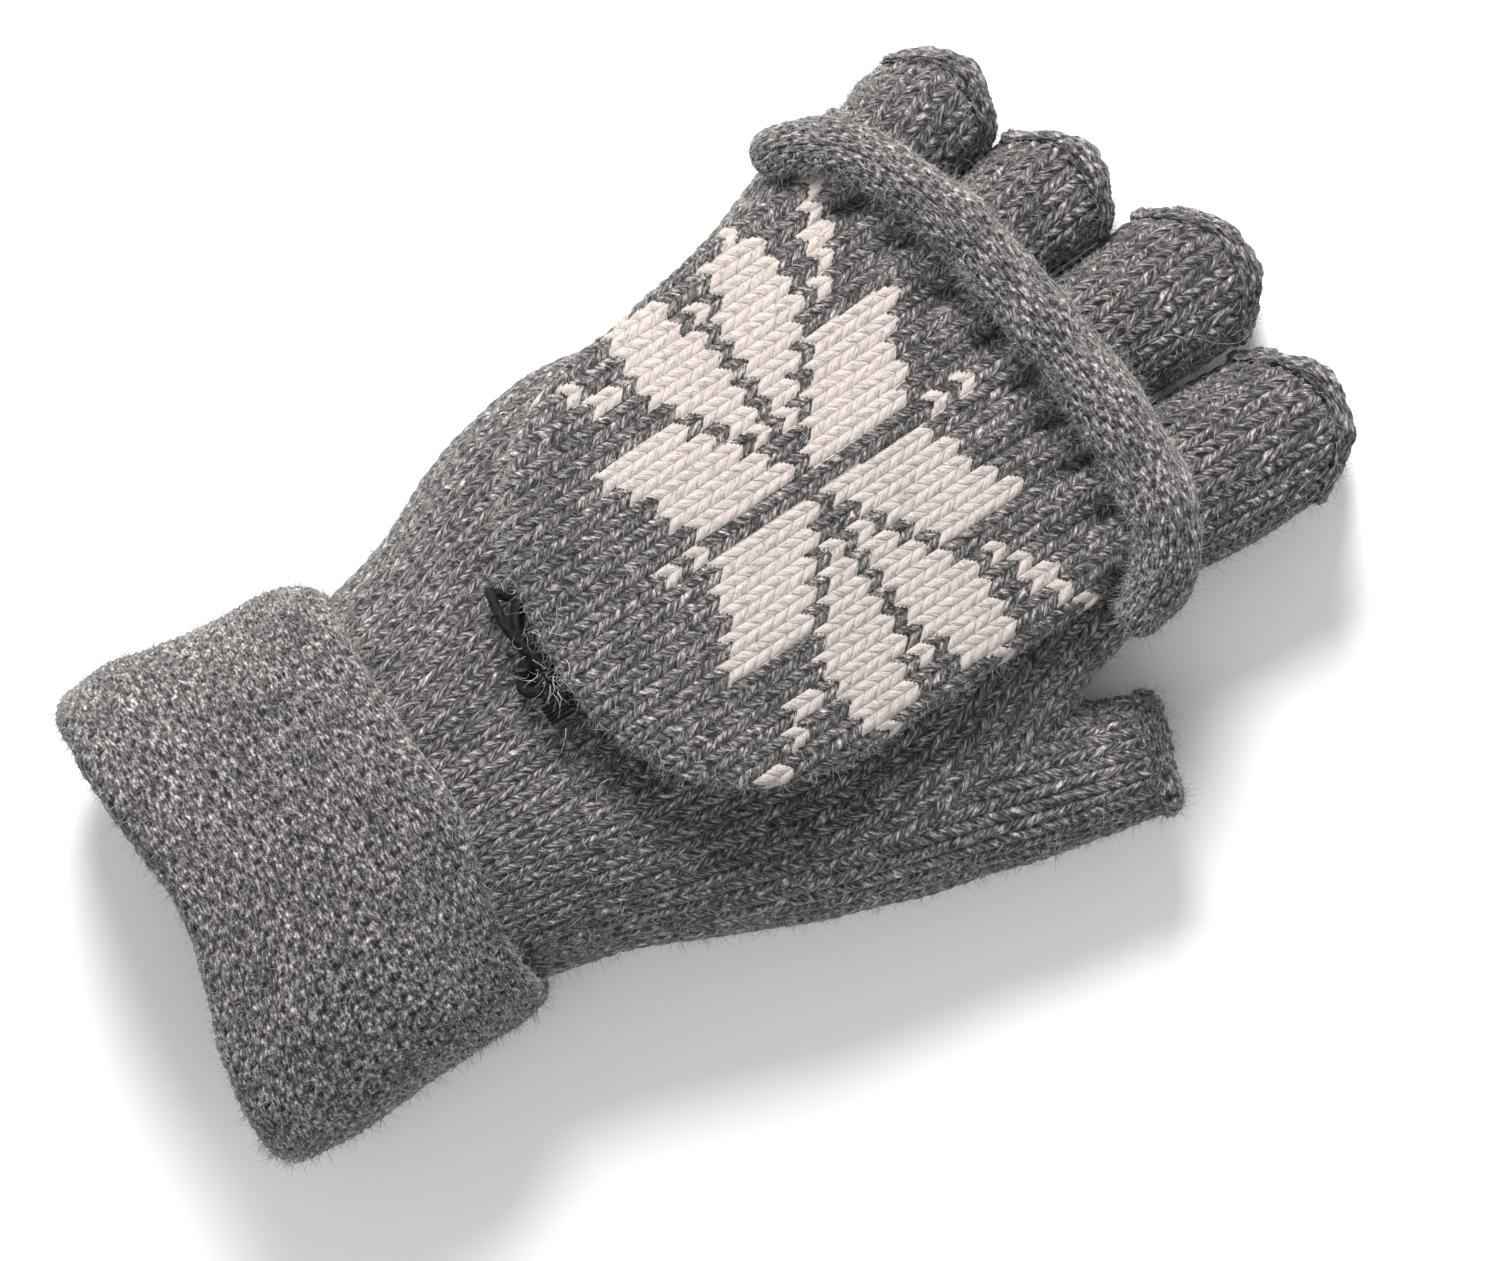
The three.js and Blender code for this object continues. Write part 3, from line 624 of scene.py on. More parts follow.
def wool_flecks(s, a, b, side, out, rise):
    """Noise drawn out along the legs, or along the bumps where the wrong side shows."""
    lane = s.plus(s.times(s.math("FLOOR", a), LANE_STEPS[0]), s.times(s.math("SIGN", side), LANE_STEPS[1]))
    x = s.times(out, WALE / 2)
    y = s.times(b, ROW)
    lean = math.atan2(WALE / 2, rise * ROW)
    lengthwise = s.plus(s.times(x, math.sin(lean)), s.times(y, math.cos(lean)))
    across = s.minus(s.times(x, math.cos(lean)), s.times(y, math.sin(lean)))
    knit = s.vector(s.times(across, FLECK_ACROSS), s.times(lengthwise, FLECK_ALONG), lane)
    purl = s.vector(s.times(a, PURL_FLECKS[0] * WALE), s.times(b, PURL_FLECKS[1] * ROW), 0.37)
    return s.noise(s.mix(s.attribute("purl"), knit, purl, "VECTOR"), 1.0, 3.0, 0.68)


def cream_yarn(s, colour, fleck, yarn, ends):
    """The colour with cream where the pattern has it, with painted shade in the pits between the stitches.
    """
    soft = s.math("MAXIMUM", yarn, ends)
    # painted shade: the cream is darkened where the yarn sinks between stitches
    painted_pit_shade = s.grey(s.remap(soft, 0.25, 0.8, 0.4, 1.0))
    cream = s.mix(1.0, s.ramp(fleck, CREAM_STOPS), painted_pit_shade, blend="MULTIPLY")
    edge = s.plus(s.attribute("cream"), s.times(s.minus(fleck, 0.5), 0.6))
    return s.mix(s.remap(edge, 0.35, 0.65, 0.0, 1.0), colour, cream)


def wool(name, tone, patterned=False, rise=LEG_RISE):
    """Melange yarn: flecks that run along each leg, painted shade between stitches, with a soft sheen."""
    s = Shader(name)
    a, b = s.stitch_coordinates()
    side = s.minus(s.math("FRACT", a), 0.5)
    out = s.times(s.math("ABSOLUTE", side), 2.0)
    fleck = wool_flecks(s, a, b, side, out, rise)
    centred = s.minus(s.times(s.math("FRACT", s.minus(b, s.times(out, rise))), 2.0), 1.0)
    yarn = s.math("SQRT", s.math("SUBTRACT", 1.0, s.times(centred, centred), clamp=True))
    yarn = s.math("POWER", yarn, 0.7)
    ends = s.math("POWER", s.math("MAXIMUM", s.math("SINE", s.times(out, math.pi)), 0.0), 0.4)
    lift = s.mix(s.attribute("purl"), s.times(yarn, ends), s.attribute("relief"), "FLOAT")
    patch = s.remap(s.noise(s.place(), 140.0, 2.0), 0.3, 0.7, 0.88, 1.12)
    # painted shade: darker where the yarn sinks between stitches, times random tone patches and random
    # stitch tints
    painted_shade_and_tone = s.times(s.remap(lift, 0.05, 0.8, 0.24, 1.06), patch)
    painted_shade_and_tone = s.times(painted_shade_and_tone, s.remap(s.attribute("tint"), 0.0, 1.0, 0.82, 1.16))
    colour = s.mix(1.0, s.ramp(fleck, grey_stops(tone)), s.grey(painted_shade_and_tone), blend="MULTIPLY")
    if patterned:
        colour = cream_yarn(s, colour, fleck, yarn, ends)
    hair = s.noise(s.place(), 2600.0, 3.0, 0.7)
    height = s.plus(s.plus(s.times(lift, 0.55), s.times(fleck, 0.75)), s.times(hair, 0.25))
    s.bump(height, 0.0006, 0.85)
    s.set(Base_Color=colour, Roughness=0.92, Sheen_Weight=0.28, Sheen_Roughness=0.45)
    s.set(Sheen_Tint=(0.9, 0.89, 0.87, 1.0))
    s.specular(0.25)
    return s.material


def fibre_wool(name, colour):
    s = Shader(name)
    tone = s.noise(s.place(), 900.0, 1.0)
    dark = tuple(0.35 * c for c in colour)
    s.set(Base_Color=s.ramp(tone, [(0.35, dark), (0.65, colour)]), Roughness=0.6)
    s.set(Sheen_Weight=0.3, Sheen_Roughness=0.4)
    return s.material


def black_plastic(name):
    s = Shader(name)
    fine = s.noise(s.place(), 1800.0, 3.0)
    s.set(Base_Color=s.ramp(fine, [(0.3, (0.006, 0.006, 0.007)), (0.7, (0.012, 0.0115, 0.012))]))
    s.set(Roughness=s.remap(fine, 0.2, 0.8, 0.3, 0.5))
    s.specular(0.3)
    s.bump(fine, 0.00002, 0.5)
    return s.material


def black_braid(name):
    s = Shader(name)
    fine = s.noise(s.place(), 4200.0, 2.0)
    lift = s.attribute("relief")
    # painted shade: the black is darker in the grooves between the braid's strands
    base = s.ramp(lift, [(0.0, (0.002, 0.002, 0.002)), (1.0, (0.01, 0.0095, 0.0105))])
    s.set(Base_Color=base, Roughness=0.7)
    s.specular(0.12)
    s.bump(s.plus(lift, s.times(fine, 0.4)), 0.0001, 0.7)
    return s.material


def sewing_thread(name):
    s = Shader(name)
    fine = s.noise(s.place(), 5000.0, 2.0)
    base = s.ramp(fine, [(0.3, (0.003, 0.003, 0.003)), (0.7, (0.012, 0.0115, 0.011))])
    s.set(Base_Color=base, Roughness=0.75)
    s.specular(0.15)
    s.bump(fine, 0.0001, 0.6)
    return s.material


BODY_WOOL = wool("grey_melange_wool", 0.118)
PURL_WOOL = wool("purl_side_wool", 0.135)
STAR_WOOL = wool("star_patterned_wool", 0.118, patterned=True, rise=CAP_LEG_RISE)
GREY_FIBRE = fibre_wool("grey_loose_fibre", (0.42, 0.41, 0.39))
PALE_FIBRE = fibre_wool("pale_loose_fibre", (0.8, 0.77, 0.72))
PLASTIC = black_plastic("black_button_plastic")
BRAID = black_braid("black_elastic_braid")
THREAD = sewing_thread("grey_sewing_thread")


def fit(piece, material, slot, place, *solids):
    """Material, the body that the piece follows (given a blend instead, the piece only has its transform
    baked in), and the solids that it stands in for.
    """
    piece.data.materials.append(material)
    if isinstance(place, str):
        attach(piece, place)
    else:
        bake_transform(piece)
    if solids:
        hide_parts(*solids)
    return piece


# ---- hand and wrist
def hand_ring(y, inset=0.0):
    left, right, under, top, exponent = along(HAND_SECTIONS, y)[0]
    ring = upright_ring(y, left, right, under, top, exponent, inset)
    ring[:, 2] = np.maximum(ring[:, 2], inset)
    return ring


def thumb_distance(points):
    """Signed distance from the thumb's surface, below 0 inside it."""
    flat = points[..., :2] - THUMB_TIP
    back = -(flat @ THUMB_AXIS)
    sizes = along(THUMB_SECTIONS, back.ravel()).reshape(*back.shape, 3)
    u, w = flat @ THUMB_ACROSS, points[..., 2] - sizes[..., 2]
    power = THUMB_ROUNDNESS
    rho = (np.abs(u / sizes[..., 0]) ** power + np.abs(w / sizes[..., 1]) ** power) ** (1 / power)
    radial = np.hypot(u, w) * (1 - 1 / np.maximum(rho, 1e-6))
    return radial + np.maximum(THUMB_FREE - back, 0)


def hand_distance(points):
    """Signed distance from the hand's surface, below 0 inside it."""
    sections = along(HAND_SECTIONS, points[..., 1].ravel()).reshape(*points.shape[:-1], 5)
    left, right, under, top, power = np.moveaxis(sections, -1, 0)
    x = points[..., 0] - (left + right) / 2
    z = points[..., 2] - (under + top) / 2
    rho = np.abs(2 * x / (right - left)) ** power + np.abs(2 * z / (top - under)) ** power
    return np.hypot(x, z) * (1 - 1 / np.maximum(rho ** (1 / power), 1e-6))


def fillet(distance):
    """How far a surface rises near another one that it crosses."""
    return FILLET / 4 * np.clip(1 - np.abs(distance) / FILLET, 0, 1) ** 2


def steps(start, end, spacing):
    return np.linspace(start, end, max(2, int(round(abs(end - start) / spacing)) + 1))


def straight(start, end, inset, purl, spacing):
    """Profile points at one inset."""
    return [(y, inset, purl) for y in steps(start, end, spacing)]


def arc(centre, inset, radius, start, end, purl, spacing):
    """Profile points round a circle; 0 degrees is outermost and 90 is furthest along."""
    count = max(3, int(abs(math.radians(end - start)) * radius / spacing))
    turn = np.radians(np.linspace(start, end, count))
    return [(centre + radius * math.sin(t), inset - radius * math.cos(t), purl) for t in turn]


def hand_shape(points, purl):
    return fillet(thumb_distance(points)) * (1 - purl) + bulge("hand", points)


def hand_skin():
    """The hand turns in at the knuckles, and its lining runs back to the wrist."""
    top = KNUCKLE_Y - HAND_END_RADIUS / 2
    profile = straight(HAND_START_Y, top, 0, 0, ROW_STEP)
    profile += arc(top, HAND_END_RADIUS, HAND_END_RADIUS, 8, 90, 0, 0.7)
    profile += [(top + HAND_END_RADIUS, inset, 0) for inset in HAND_END_INSETS]
    profile += [(KNUCKLE_Y - back, inset, 1) for back, inset in HAND_LINING]
    profile += straight(KNUCKLE_Y - LINING_STEP, HAND_START_Y, FABRIC, 1, LINING_STEP)
    piece, points, normals = profile_tube(
        "hand_wool", hand_ring, profile, HAND_WALES, 1, 0, 7, hand_shape)
    fit(piece, BODY_WOOL, "grey_wool", "glove", "hand_shell")
    return points, normals


def skewed(ring):
    """The fold of the cuff hangs lower at the thumb side and under the wrist."""
    share = smooth((CUFF_SKEW["start"] - ring[:, 1]) / (CUFF_SKEW["start"] - CUFF_SKEW["end"]))
    side = smooth((ring[:, 0] - CUFF_SKEW["from_x"]) / CUFF_SKEW["width"])
    under = 1 - np.clip(ring[:, 2] / CUFF_TOP_Z, 0, 1)
    drop = CUFF_SKEW["base"] + CUFF_SKEW["side"] * side + CUFF_SKEW["under"] * under
    return ring - np.array([0, 1, 0]) * (share * drop)[:, None]


def wrist_ring(y, inset):
    """The wrist changes from the end of the hand to its own size."""
    t = min((HAND_START_Y - y) / WRIST["change"], 1)
    keys = ("left", "right", "under", "top")
    edges = [lerp(here, WRIST[key], t) for here, key in zip(HAND_SECTIONS[0][1:], keys)]
    return skewed(upright_ring(y, *edges, WRIST["roundness"], inset))


def wrist_skin():
    profile = straight(WRIST["end"], HAND_START_Y, 0, 0, ROW_STEP)
    profile += straight(HAND_START_Y, WRIST["end"], FABRIC, 1, 10.0)
    start_row = (WRIST["end"] - HAND_START_Y) / ROW
    piece, _, _ = profile_tube("wrist_wool", wrist_ring, profile, HAND_WALES, 2, start_row, 6)
    fit(piece, BODY_WOOL, "grey_wool", "glove", "wrist_tube")


def cuff_ring(y, inset):
    left, right = along(CUFF_SECTIONS, y)[0]
    ring = upright_ring(y, left, right, 0, CUFF_TOP_Z, CUFF_ROUNDNESS, inset)
    near_edge = smooth((y - CUFF_SLANT["start"]) / CUFF_SLANT["length"])
    side = smooth((ring[:, 0] - CUFF_SLANT["from_x"]) / CUFF_SLANT["width"])
    ring[:, 1] -= CUFF_SLANT["drop"] * near_edge * side
    return skewed(ring)


def cuff_shape(points, _purl):
    return bulge("cuff", points) + bulge("cuff lumps", points)


def cuff_skin():
    """From the fold's inside round to the turned-back layer, its free edge and the layer's own back."""
    fold_y = CUFF_SECTIONS[-1][0] - CUFF_FOLD_RADIUS - CUFF_FOLD_GAP
    edge_y = CUFF_SECTIONS[0][0] - CUFF_EDGE_RADIUS
    profile = arc(fold_y, CUFF_FOLD_RADIUS, CUFF_FOLD_RADIUS, 180, 355, 1, ROW_STEP)
    profile += straight(fold_y + 0.4, edge_y, 0, 1, ROW_STEP)
    profile += arc(edge_y, CUFF_EDGE_RADIUS, CUFF_EDGE_RADIUS, 10, 200, 1, ROW_STEP)
    profile += straight(edge_y - 2, CUFF_SECTIONS[-1][0], CUFF_WALL, 0, 5.0)
    profile += [(CUFF_SECTIONS[-1][0] - 0.5, 2 * CUFF_FOLD_RADIUS - 0.6, 1)]
    piece, points, normals = profile_tube(
        "cuff_wool", cuff_ring, profile, CUFF_WALES, 4, 0, 7, cuff_shape)
    solids = ("cuff_outer_layer", "cuff_fold_edge", "cuff_cast_on_edge")
    fit(piece, PURL_WOOL, "purl_side_wool", "cuff", *solids)
    return points, normals


# ---- fingers and thumb
def finger_ring(finger, y, inset):
    """The tube widens a little to its end, and its end curves back at both sides."""
    tube_end = finger["end"] - 2 * finger["roll"] - STUB_GAP
    t = (y - KNUCKLE_Y) / (tube_end - KNUCKLE_Y)
    within = min(max(t, 0.0), 1.0)
    centre = lerp(finger["base"][0], finger["tip"][0], t)
    half = lerp(finger["base"][1], finger["tip"][1], within) + STUB_FLARE * within
    depth = lerp(*FINGER_DEPTH, within) + STUB_FLARE * within
    ring = upright_ring(y, centre - half, centre + half, FINGER_Z - depth, FINGER_Z + depth,
                        FINGER_ROUNDNESS, inset)
    side = np.clip((ring[:, 0] - centre) / half, -1, 1)
    left, right = finger["back"]
    drop = np.where(side < 0, left, right) * np.abs(side) ** STUB_BACK_CURVE
    ring[:, 1] -= drop * smooth(t)
    return ring


def stub_shape(seed, roll_y, size):
    """Slight bulges in the tube and lumps in its rolled edge."""
    def shape(points, purl):
        lumps = STUB_LUMPS[0] * wobble(points, STUB_LUMPS[1], seed) * purl
        bulges = STUB_BULGES[0] * wobble(points, STUB_BULGES[1], seed + 1)
        near = smooth((points[..., 1] - roll_y + 3 * size) / (3 * size))
        return lumps + bulges - STUB_WAIST * near * (1 - purl)
    return shape


def stub_profile(start, roll_at, roll):
    """A tube, the roll at its end and the lining."""
    profile = straight(start, roll_at - ROLL_NECK * roll, 0, 0, FINE_STEP)
    profile += arc(roll_at, ROLL_INSET, roll, *ROLL_ARC, 1, FINE_STEP)
    return profile + straight(roll_at - roll, start, FABRIC, 1, 4.0)


def squeeze(piece):
    """The closed cap holds the fingers together; the piece only gets its own copy of its mesh."""
    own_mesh(piece)


def finger_skins(name, finger, seed):
    """The free tube rides the finger; a sleeve covers the knuckle between hand and finger."""
    def ring(y, inset):
        return finger_ring(finger, y, inset)

    wales, roll = finger["wales"], ROLL_SHARE * finger["roll"]
    roll_y = finger["end"] - roll
    profile = stub_profile(STUB_START_Y, roll_y, roll)
    start_row = (STUB_START_Y - KNUCKLE_Y) / ROW
    shape = stub_shape(seed, roll_y, roll)
    stub, points, normals = profile_tube(f"{name}_wool", ring, profile, wales, seed, start_row, 9, shape)
    fit(stub, BODY_WOOL, "grey_wool", name, f"{name}_tube", f"{name}_rolled_edge")

    start, end = KNUCKLE_SLEEVE["start"], KNUCKLE_SLEEVE["end"]
    sleeve = straight(start, end, KNUCKLE_SLEEVE["inset"], 0, ROW_STEP)
    sleeve += straight(end, start, FABRIC, 1, 3.0)
    start_row = (start - KNUCKLE_Y) / ROW
    knuckle, _, _ = profile_tube(f"{name}_knuckle_wool", ring, sleeve, wales, seed, start_row)
    bend = [(finger["base"][0] * MM, y * MM, FINGER_Z * MM) for y in KNUCKLE_BEND]
    fit(knuckle, BODY_WOOL, "grey_wool", ("glove", name, *bend))
    squeeze(stub)
    return points, normals


def thumb_ring(along_axis, inset):
    """A ring round the thumb; places along it count back from its tip as negative."""
    half_width, half_depth, z = along(THUMB_SECTIONS, -along_axis)[0]
    across, up = ellipse_ring(half_width - inset, half_depth - inset, THUMB_ROUNDNESS)
    centre = THUMB_TIP + THUMB_AXIS * along_axis
    return np.stack([*(centre[:, None] + across * THUMB_ACROSS[:, None]), z + up], axis=1)


def thumb_shape(points, purl):
    return bulge("thumb roll", points) * purl + bulge("thumb", points)


def gusset_shape(points, purl):
    return fillet(hand_distance(points)) * (1 - purl) + bulge("thumb", points)


def thumb_skins():
    """The free tube rides the thumb; the gusset lies between hand and thumb."""
    start = -THUMB_FREE - THUMB_OVERLAP
    profile = stub_profile(start, -THUMB_ROLL, THUMB_ROLL)
    stub, points, normals = profile_tube(
        "thumb_wool", thumb_ring, profile, THUMB_WALES, 70, 0, 9, thumb_shape)
    fit(stub, BODY_WOOL, "grey_wool", "thumb", "thumb_tube", "thumb_rolled_edge")

    root, end = GUSSET["root"], GUSSET["end"]
    gusset = straight(root, end, GUSSET["inset"], 0, ROW_STEP)
    gusset += straight(end, root, FABRIC, 1, 6.0)
    sleeve, sleeve_points, sleeve_normals = profile_tube(
        "thumb_gusset_wool", thumb_ring, gusset, THUMB_WALES, 70, (root - start) / ROW, 8, gusset_shape)
    ends = [THUMB_TIP - THUMB_AXIS * back for back in GUSSET_BEND]
    blend = ("glove", "thumb", *[(x * MM, y * MM, THUMB_Z * MM) for x, y in ends])
    fit(sleeve, BODY_WOOL, "grey_wool", blend)
    return (points, normals), (sleeve_points, sleeve_normals), blend


# ---- cap
def opening_blend():
    """From the cap's back to its front over the height where it opens."""
    slope = OPENING["slope"]
    reach = (OPENING["high"] - OPENING["low"]) / (1 + slope * slope)
    z = CAP_MOUTH_FLOOR + OPENING["low"]
    start = (0, CAP_MOUTH_Y * MM, z * MM)
    end = (0, (CAP_MOUTH_Y + reach * slope) * MM, (z + reach) * MM)
    return "cap_back", "cap_front", start, end


def seam_blend():
    return "glove", "cap_back", *[(0, y * MM, SEAM["z"] * MM) for y in SEAM_BEND]


def cap_half_width(side, y):
    share = np.clip((y - CAP_ROUND_Y) / (CAP_MOUTH_Y - CAP_ROUND_Y), 0, 1)
    left = lerp(CAP_LEFT, CAP_LEFT_MOUTH, share)
    return np.where(side < 0, CAP_CENTRE_X - left, CAP_RIGHT - CAP_CENTRE_X)


def mouth_line(x):
    """Place y and height z of the roll's centre line over x."""
    curve = np.array(MOUTH_ROLL[1:-1])
    return np.interp(x, curve[:, 0], curve[:, 1]), np.interp(x, curve[:, 0], curve[:, 2])


def cap_plan(p, q, mouth):
    """Place from above of a grid point; q is -1 at the tip, 0 where the cap rounds, 1 at the mouth."""
    s = p * np.sqrt(np.maximum(1 - q * q / 2, 0.05))
    t = q * np.sqrt(np.maximum(1 - p * p / 2, 0.05))
    angle = np.arctan2(t, s)
    power = CAP_ROUNDNESS
    rounded = (np.abs(np.cos(angle)) ** power + np.abs(np.sin(angle)) ** power) ** (-1 / power)
    x_round = CAP_CENTRE_X + s * rounded * cap_half_width(p, CAP_ROUND_Y)
    y_round = CAP_ROUND_Y + t * rounded * (CAP_ROUND_Y - CAP_TIP_Y)
    roll_y, _ = mouth_line(CAP_CENTRE_X + p * cap_half_width(p, CAP_MOUTH_Y))
    end = np.minimum(mouth, roll_y)
    y_straight = CAP_ROUND_Y + q * (end - CAP_ROUND_Y)
    x_straight = CAP_CENTRE_X + p * cap_half_width(p, y_straight)
    return np.where(q >= 0, x_straight, x_round), np.where(q >= 0, y_straight, y_round)


def cap_floor(x, y):
    climb = np.clip((CAP_MOUTH_Y - y) / (CAP_MOUTH_Y - CAP_LEVEL_Y), 0, 1)
    hang = ((x - CAP_MIDDLE_X) / CAP_DROOP_HALF) ** 2
    return lerp(CAP_MOUTH_FLOOR, CAP_TIP_FLOOR, climb) - CAP_DROOP * hang


def cap_stitches(x, y):
    """Column and row of the stitch at a place; column 0 and row 0 are the middle of the star."""
    a = (x - STAR_CENTRE[0]) / WALE + 0.5
    b = -(y - STAR_CENTRE[1]) / ROW + 0.5 + CAP_LEG_RISE / 2
    return a, b


def star(a, b):
    """1 where the stitch is knitted in cream."""
    c = np.abs(np.floor(a))
    up = -np.floor(b - CAP_LEG_RISE * off_middle(a))
    r = np.abs(up)
    made = np.zeros(a.shape, bool)
    for column, (low, high) in enumerate(UPRIGHT_PETAL, 1):
        made |= (c == column) & (r >= low) & (r <= high)
    for row, (low, high) in enumerate(LEVEL_PETAL, 1):
        made |= (r == row) & (c >= low) & (c <= high)
    for column, row in STAR_HEART:
        made |= (c == column) & (r == row)
    for column, row in STAR_SPARKS + STAR_CHAIN:
        made |= (c == column) & (up == row)
    return made.astype(float)


def cap_grid(reach, length):
    """Grid coordinates p across and q along, evenly spaced over the fabric."""
    p = steps(-reach, reach, CAP_STEP / CAP_SPREAD)
    low = steps(-reach, 0, CAP_STEP / (CAP_ROUND_Y - CAP_TIP_Y))[:-1]
    high = steps(0, 1, CAP_STEP / length)
    return np.meshgrid(p, np.concatenate([low, high]))


def border(rows, columns):
    grid = np.arange(rows * columns).reshape(rows, columns)
    return np.concatenate([grid[0, :-1], grid[:-1, -1], grid[-1, :0:-1], grid[:0:-1, 0]])


def knit_sheet(name, points, a, b, seed, turned, lift, cream, relief=1.0):
    """A knitted sheet: its right side, its lining and the walls round its edges."""
    side = -1.0 if turned else 1.0
    points = points + side * grid_normals(points, False, False) * lift[..., None]
    out = side * grid_normals(points, False, False)
    height, share, own = stitch_relief(a, b, np.zeros_like(a), seed, CAP_LEG_RISE)
    back_height, back_share, _ = stitch_relief(a, b, np.ones_like(a), seed, CAP_LEG_RISE)
    height = lerp(height, KNIT_RELIEF, CREAM_FULLNESS * cream) * relief
    face = points + out * (height - SURFACE_INSET)[..., None]
    lining = points - out * (FABRIC - 2 * SURFACE_INSET + back_height * relief)[..., None]
    rows, columns = a.shape
    edge = border(rows, columns)
    after = np.roll(edge, -1)
    walls = np.stack([edge + a.size, after + a.size, after, edge], axis=1)
    outside = grid_faces(rows, columns, False, False, 0, turned)
    inside = grid_faces(rows, columns, False, False, a.size, not turned)
    faces = np.concatenate([outside, inside, walls if turned else walls[:, ::-1]])
    uv = np.stack([np.tile(value.ravel(), 2)[faces] for value in (a, b)], axis=-1)
    blank = np.zeros(a.size)
    values = dict(
        relief=np.concatenate([share.ravel(), back_share.ravel()]),
        purl=np.concatenate([blank, blank + 1]),
        tint=np.tile(own.ravel(), 2),
        cream=np.concatenate([cream.ravel(), blank]),
    )
    both = np.concatenate([face.reshape(-1, 3), lining.reshape(-1, 3)])
    return mesh_object(name, both, faces, uv, values), face, out


def gathers(x, y, x_flat, edge):
    """How far the fabric sinks between the pleats at the mouth, and 0 to 1 how deep in a hollow it is."""
    start = mouth_line(x)[0] - GATHER_START
    fade = np.where(y > start, 1, np.exp(-((start - y) / GATHER_FADE) ** 2)) * (1 - edge)
    sway, width = GATHER_SWAY
    wave = math.pi * (x_flat + sway * np.sin(x_flat / width)) / GATHER_SPACING
    hollow = np.exp(-(np.sin(wave) / GATHER_WIDTH) ** 2)
    return fade * (GATHER_DEPTH * hollow + GATHER_DIP * (1 - 0.8 * np.abs(np.sin(wave)))), hollow


def cap_front_skin():
    """The upper layer: a rounded edge, pleats at the mouth, and fabric that climbs into the roll."""
    p, q = cap_grid(CAP_REACH, CAP_MOUTH_Y + CAP_PAST_MOUTH - CAP_ROUND_Y)
    m = np.maximum(np.abs(p), np.where(q < 0, -q, 0))
    edge = np.clip((m - CAP_FLAT) / (CAP_REACH - CAP_FLAT), 0, 1)
    plan = np.where(edge > 0, CAP_FLAT + (1 - CAP_FLAT) * np.sin(edge * math.pi), m)
    shrink = plan / np.maximum(m, 1e-6)
    x, y = cap_plan(p * shrink, np.where(q >= 0, q, q * shrink), math.inf)
    x_flat, y_flat = cap_plan(p, q, math.inf)
    fullness = lerp(*CAP_FULLNESS, 1 - np.clip(m / CAP_FLAT, 0, 1) ** 2)
    rise = CAP_HEIGHT * fullness * (1 + np.cos(edge * math.pi)) / 2
    sink, hollow = gathers(x, y, x_flat, edge)
    roll_y, roll_z = mouth_line(x)
    climb = lerp(PLEAT_CLIMB, HOLLOW_CLIMB, hollow)
    into_roll = smooth((y - roll_y + climb) / climb) * (1 - edge)
    z = lerp(cap_floor(x, y) + rise - sink, roll_z - 0.5, into_roll)
    points = np.stack([x, y, z], axis=-1)
    a, b = cap_stitches(x_flat, y_flat)
    lift = bulge("cap", points) * (1 - edge)
    piece, face, out = knit_sheet("cap_front_wool", points, a, b, 30, True, lift, star(a, b))
    fit(piece, STAR_WOOL, "patterned_wool", opening_blend(), "cap_front_panel")
    return face, out


def cap_back_skin():
    """The layer on the hand; its stitches flatten where it bends at the seam."""
    p, q = cap_grid(CAP_BACK_REACH, CAP_BACK_END_Y - CAP_ROUND_Y)
    x, y = cap_plan(p, q, CAP_BACK_END_Y)
    points = np.stack([x, y, cap_floor(x, y) + CAP_BACK_SAG], axis=-1)
    a, b = cap_stitches(x, y)
    flat = 1 - smooth((y - SEAM_BEND[1] + SEAM_FADE) / SEAM_FADE)
    pattern = star(a, b) * (flat > 0.5)
    piece, _, _ = knit_sheet("cap_back_wool", points, a, b, 33, False, np.zeros_like(x), pattern, flat)
    fit(piece, STAR_WOOL, "patterned_wool", seam_blend(), "cap_back_panel")


def tube_frames(path):
    """Side and up along a path; up stays near +Z."""
    tangent = unit(np.gradient(path, axis=0))
    side = unit(np.cross(tangent, [0, 0, 1.0]))
    return side, np.cross(side, tangent)


def even_path(points, spacing):
    """A path resampled at even steps of its length, with the length up to each point."""
    lengths = np.linalg.norm(np.diff(points[:, :3], axis=0), axis=1)
    span = np.concatenate([[0.0], np.cumsum(lengths)])
    at = np.linspace(0, span[-1], max(4, int(round(span[-1] / spacing)) + 1))
    return np.stack([np.interp(at, span, points[:, k]) for k in range(points.shape[1])], axis=1), at


def through(table, fine):
    """A smooth path through the rows of a table."""
    rows = [[k, *row] for k, row in enumerate(table)]
    return along(rows, np.linspace(0, len(rows) - 1, fine * (len(rows) - 1) + 1))


def round_ends(at, radius):
    """Share of the full radius that a tube has at each length, so that both of its ends are round."""
    inward = np.clip(np.minimum(at, at[-1] - at) / radius, 0, 1)
    return np.sqrt(np.clip(1 - (1 - inward) ** 2, 0, 1)), inward


def around(side, up, turn, columns, sign=1.0):
    """Directions round a path, from an angle on."""
    angle = np.linspace(turn, turn + 2 * math.pi, columns, endpoint=False)
    return side[:, None] * np.cos(angle)[:, None] + sign * up[:, None] * np.sin(angle)[:, None], angle


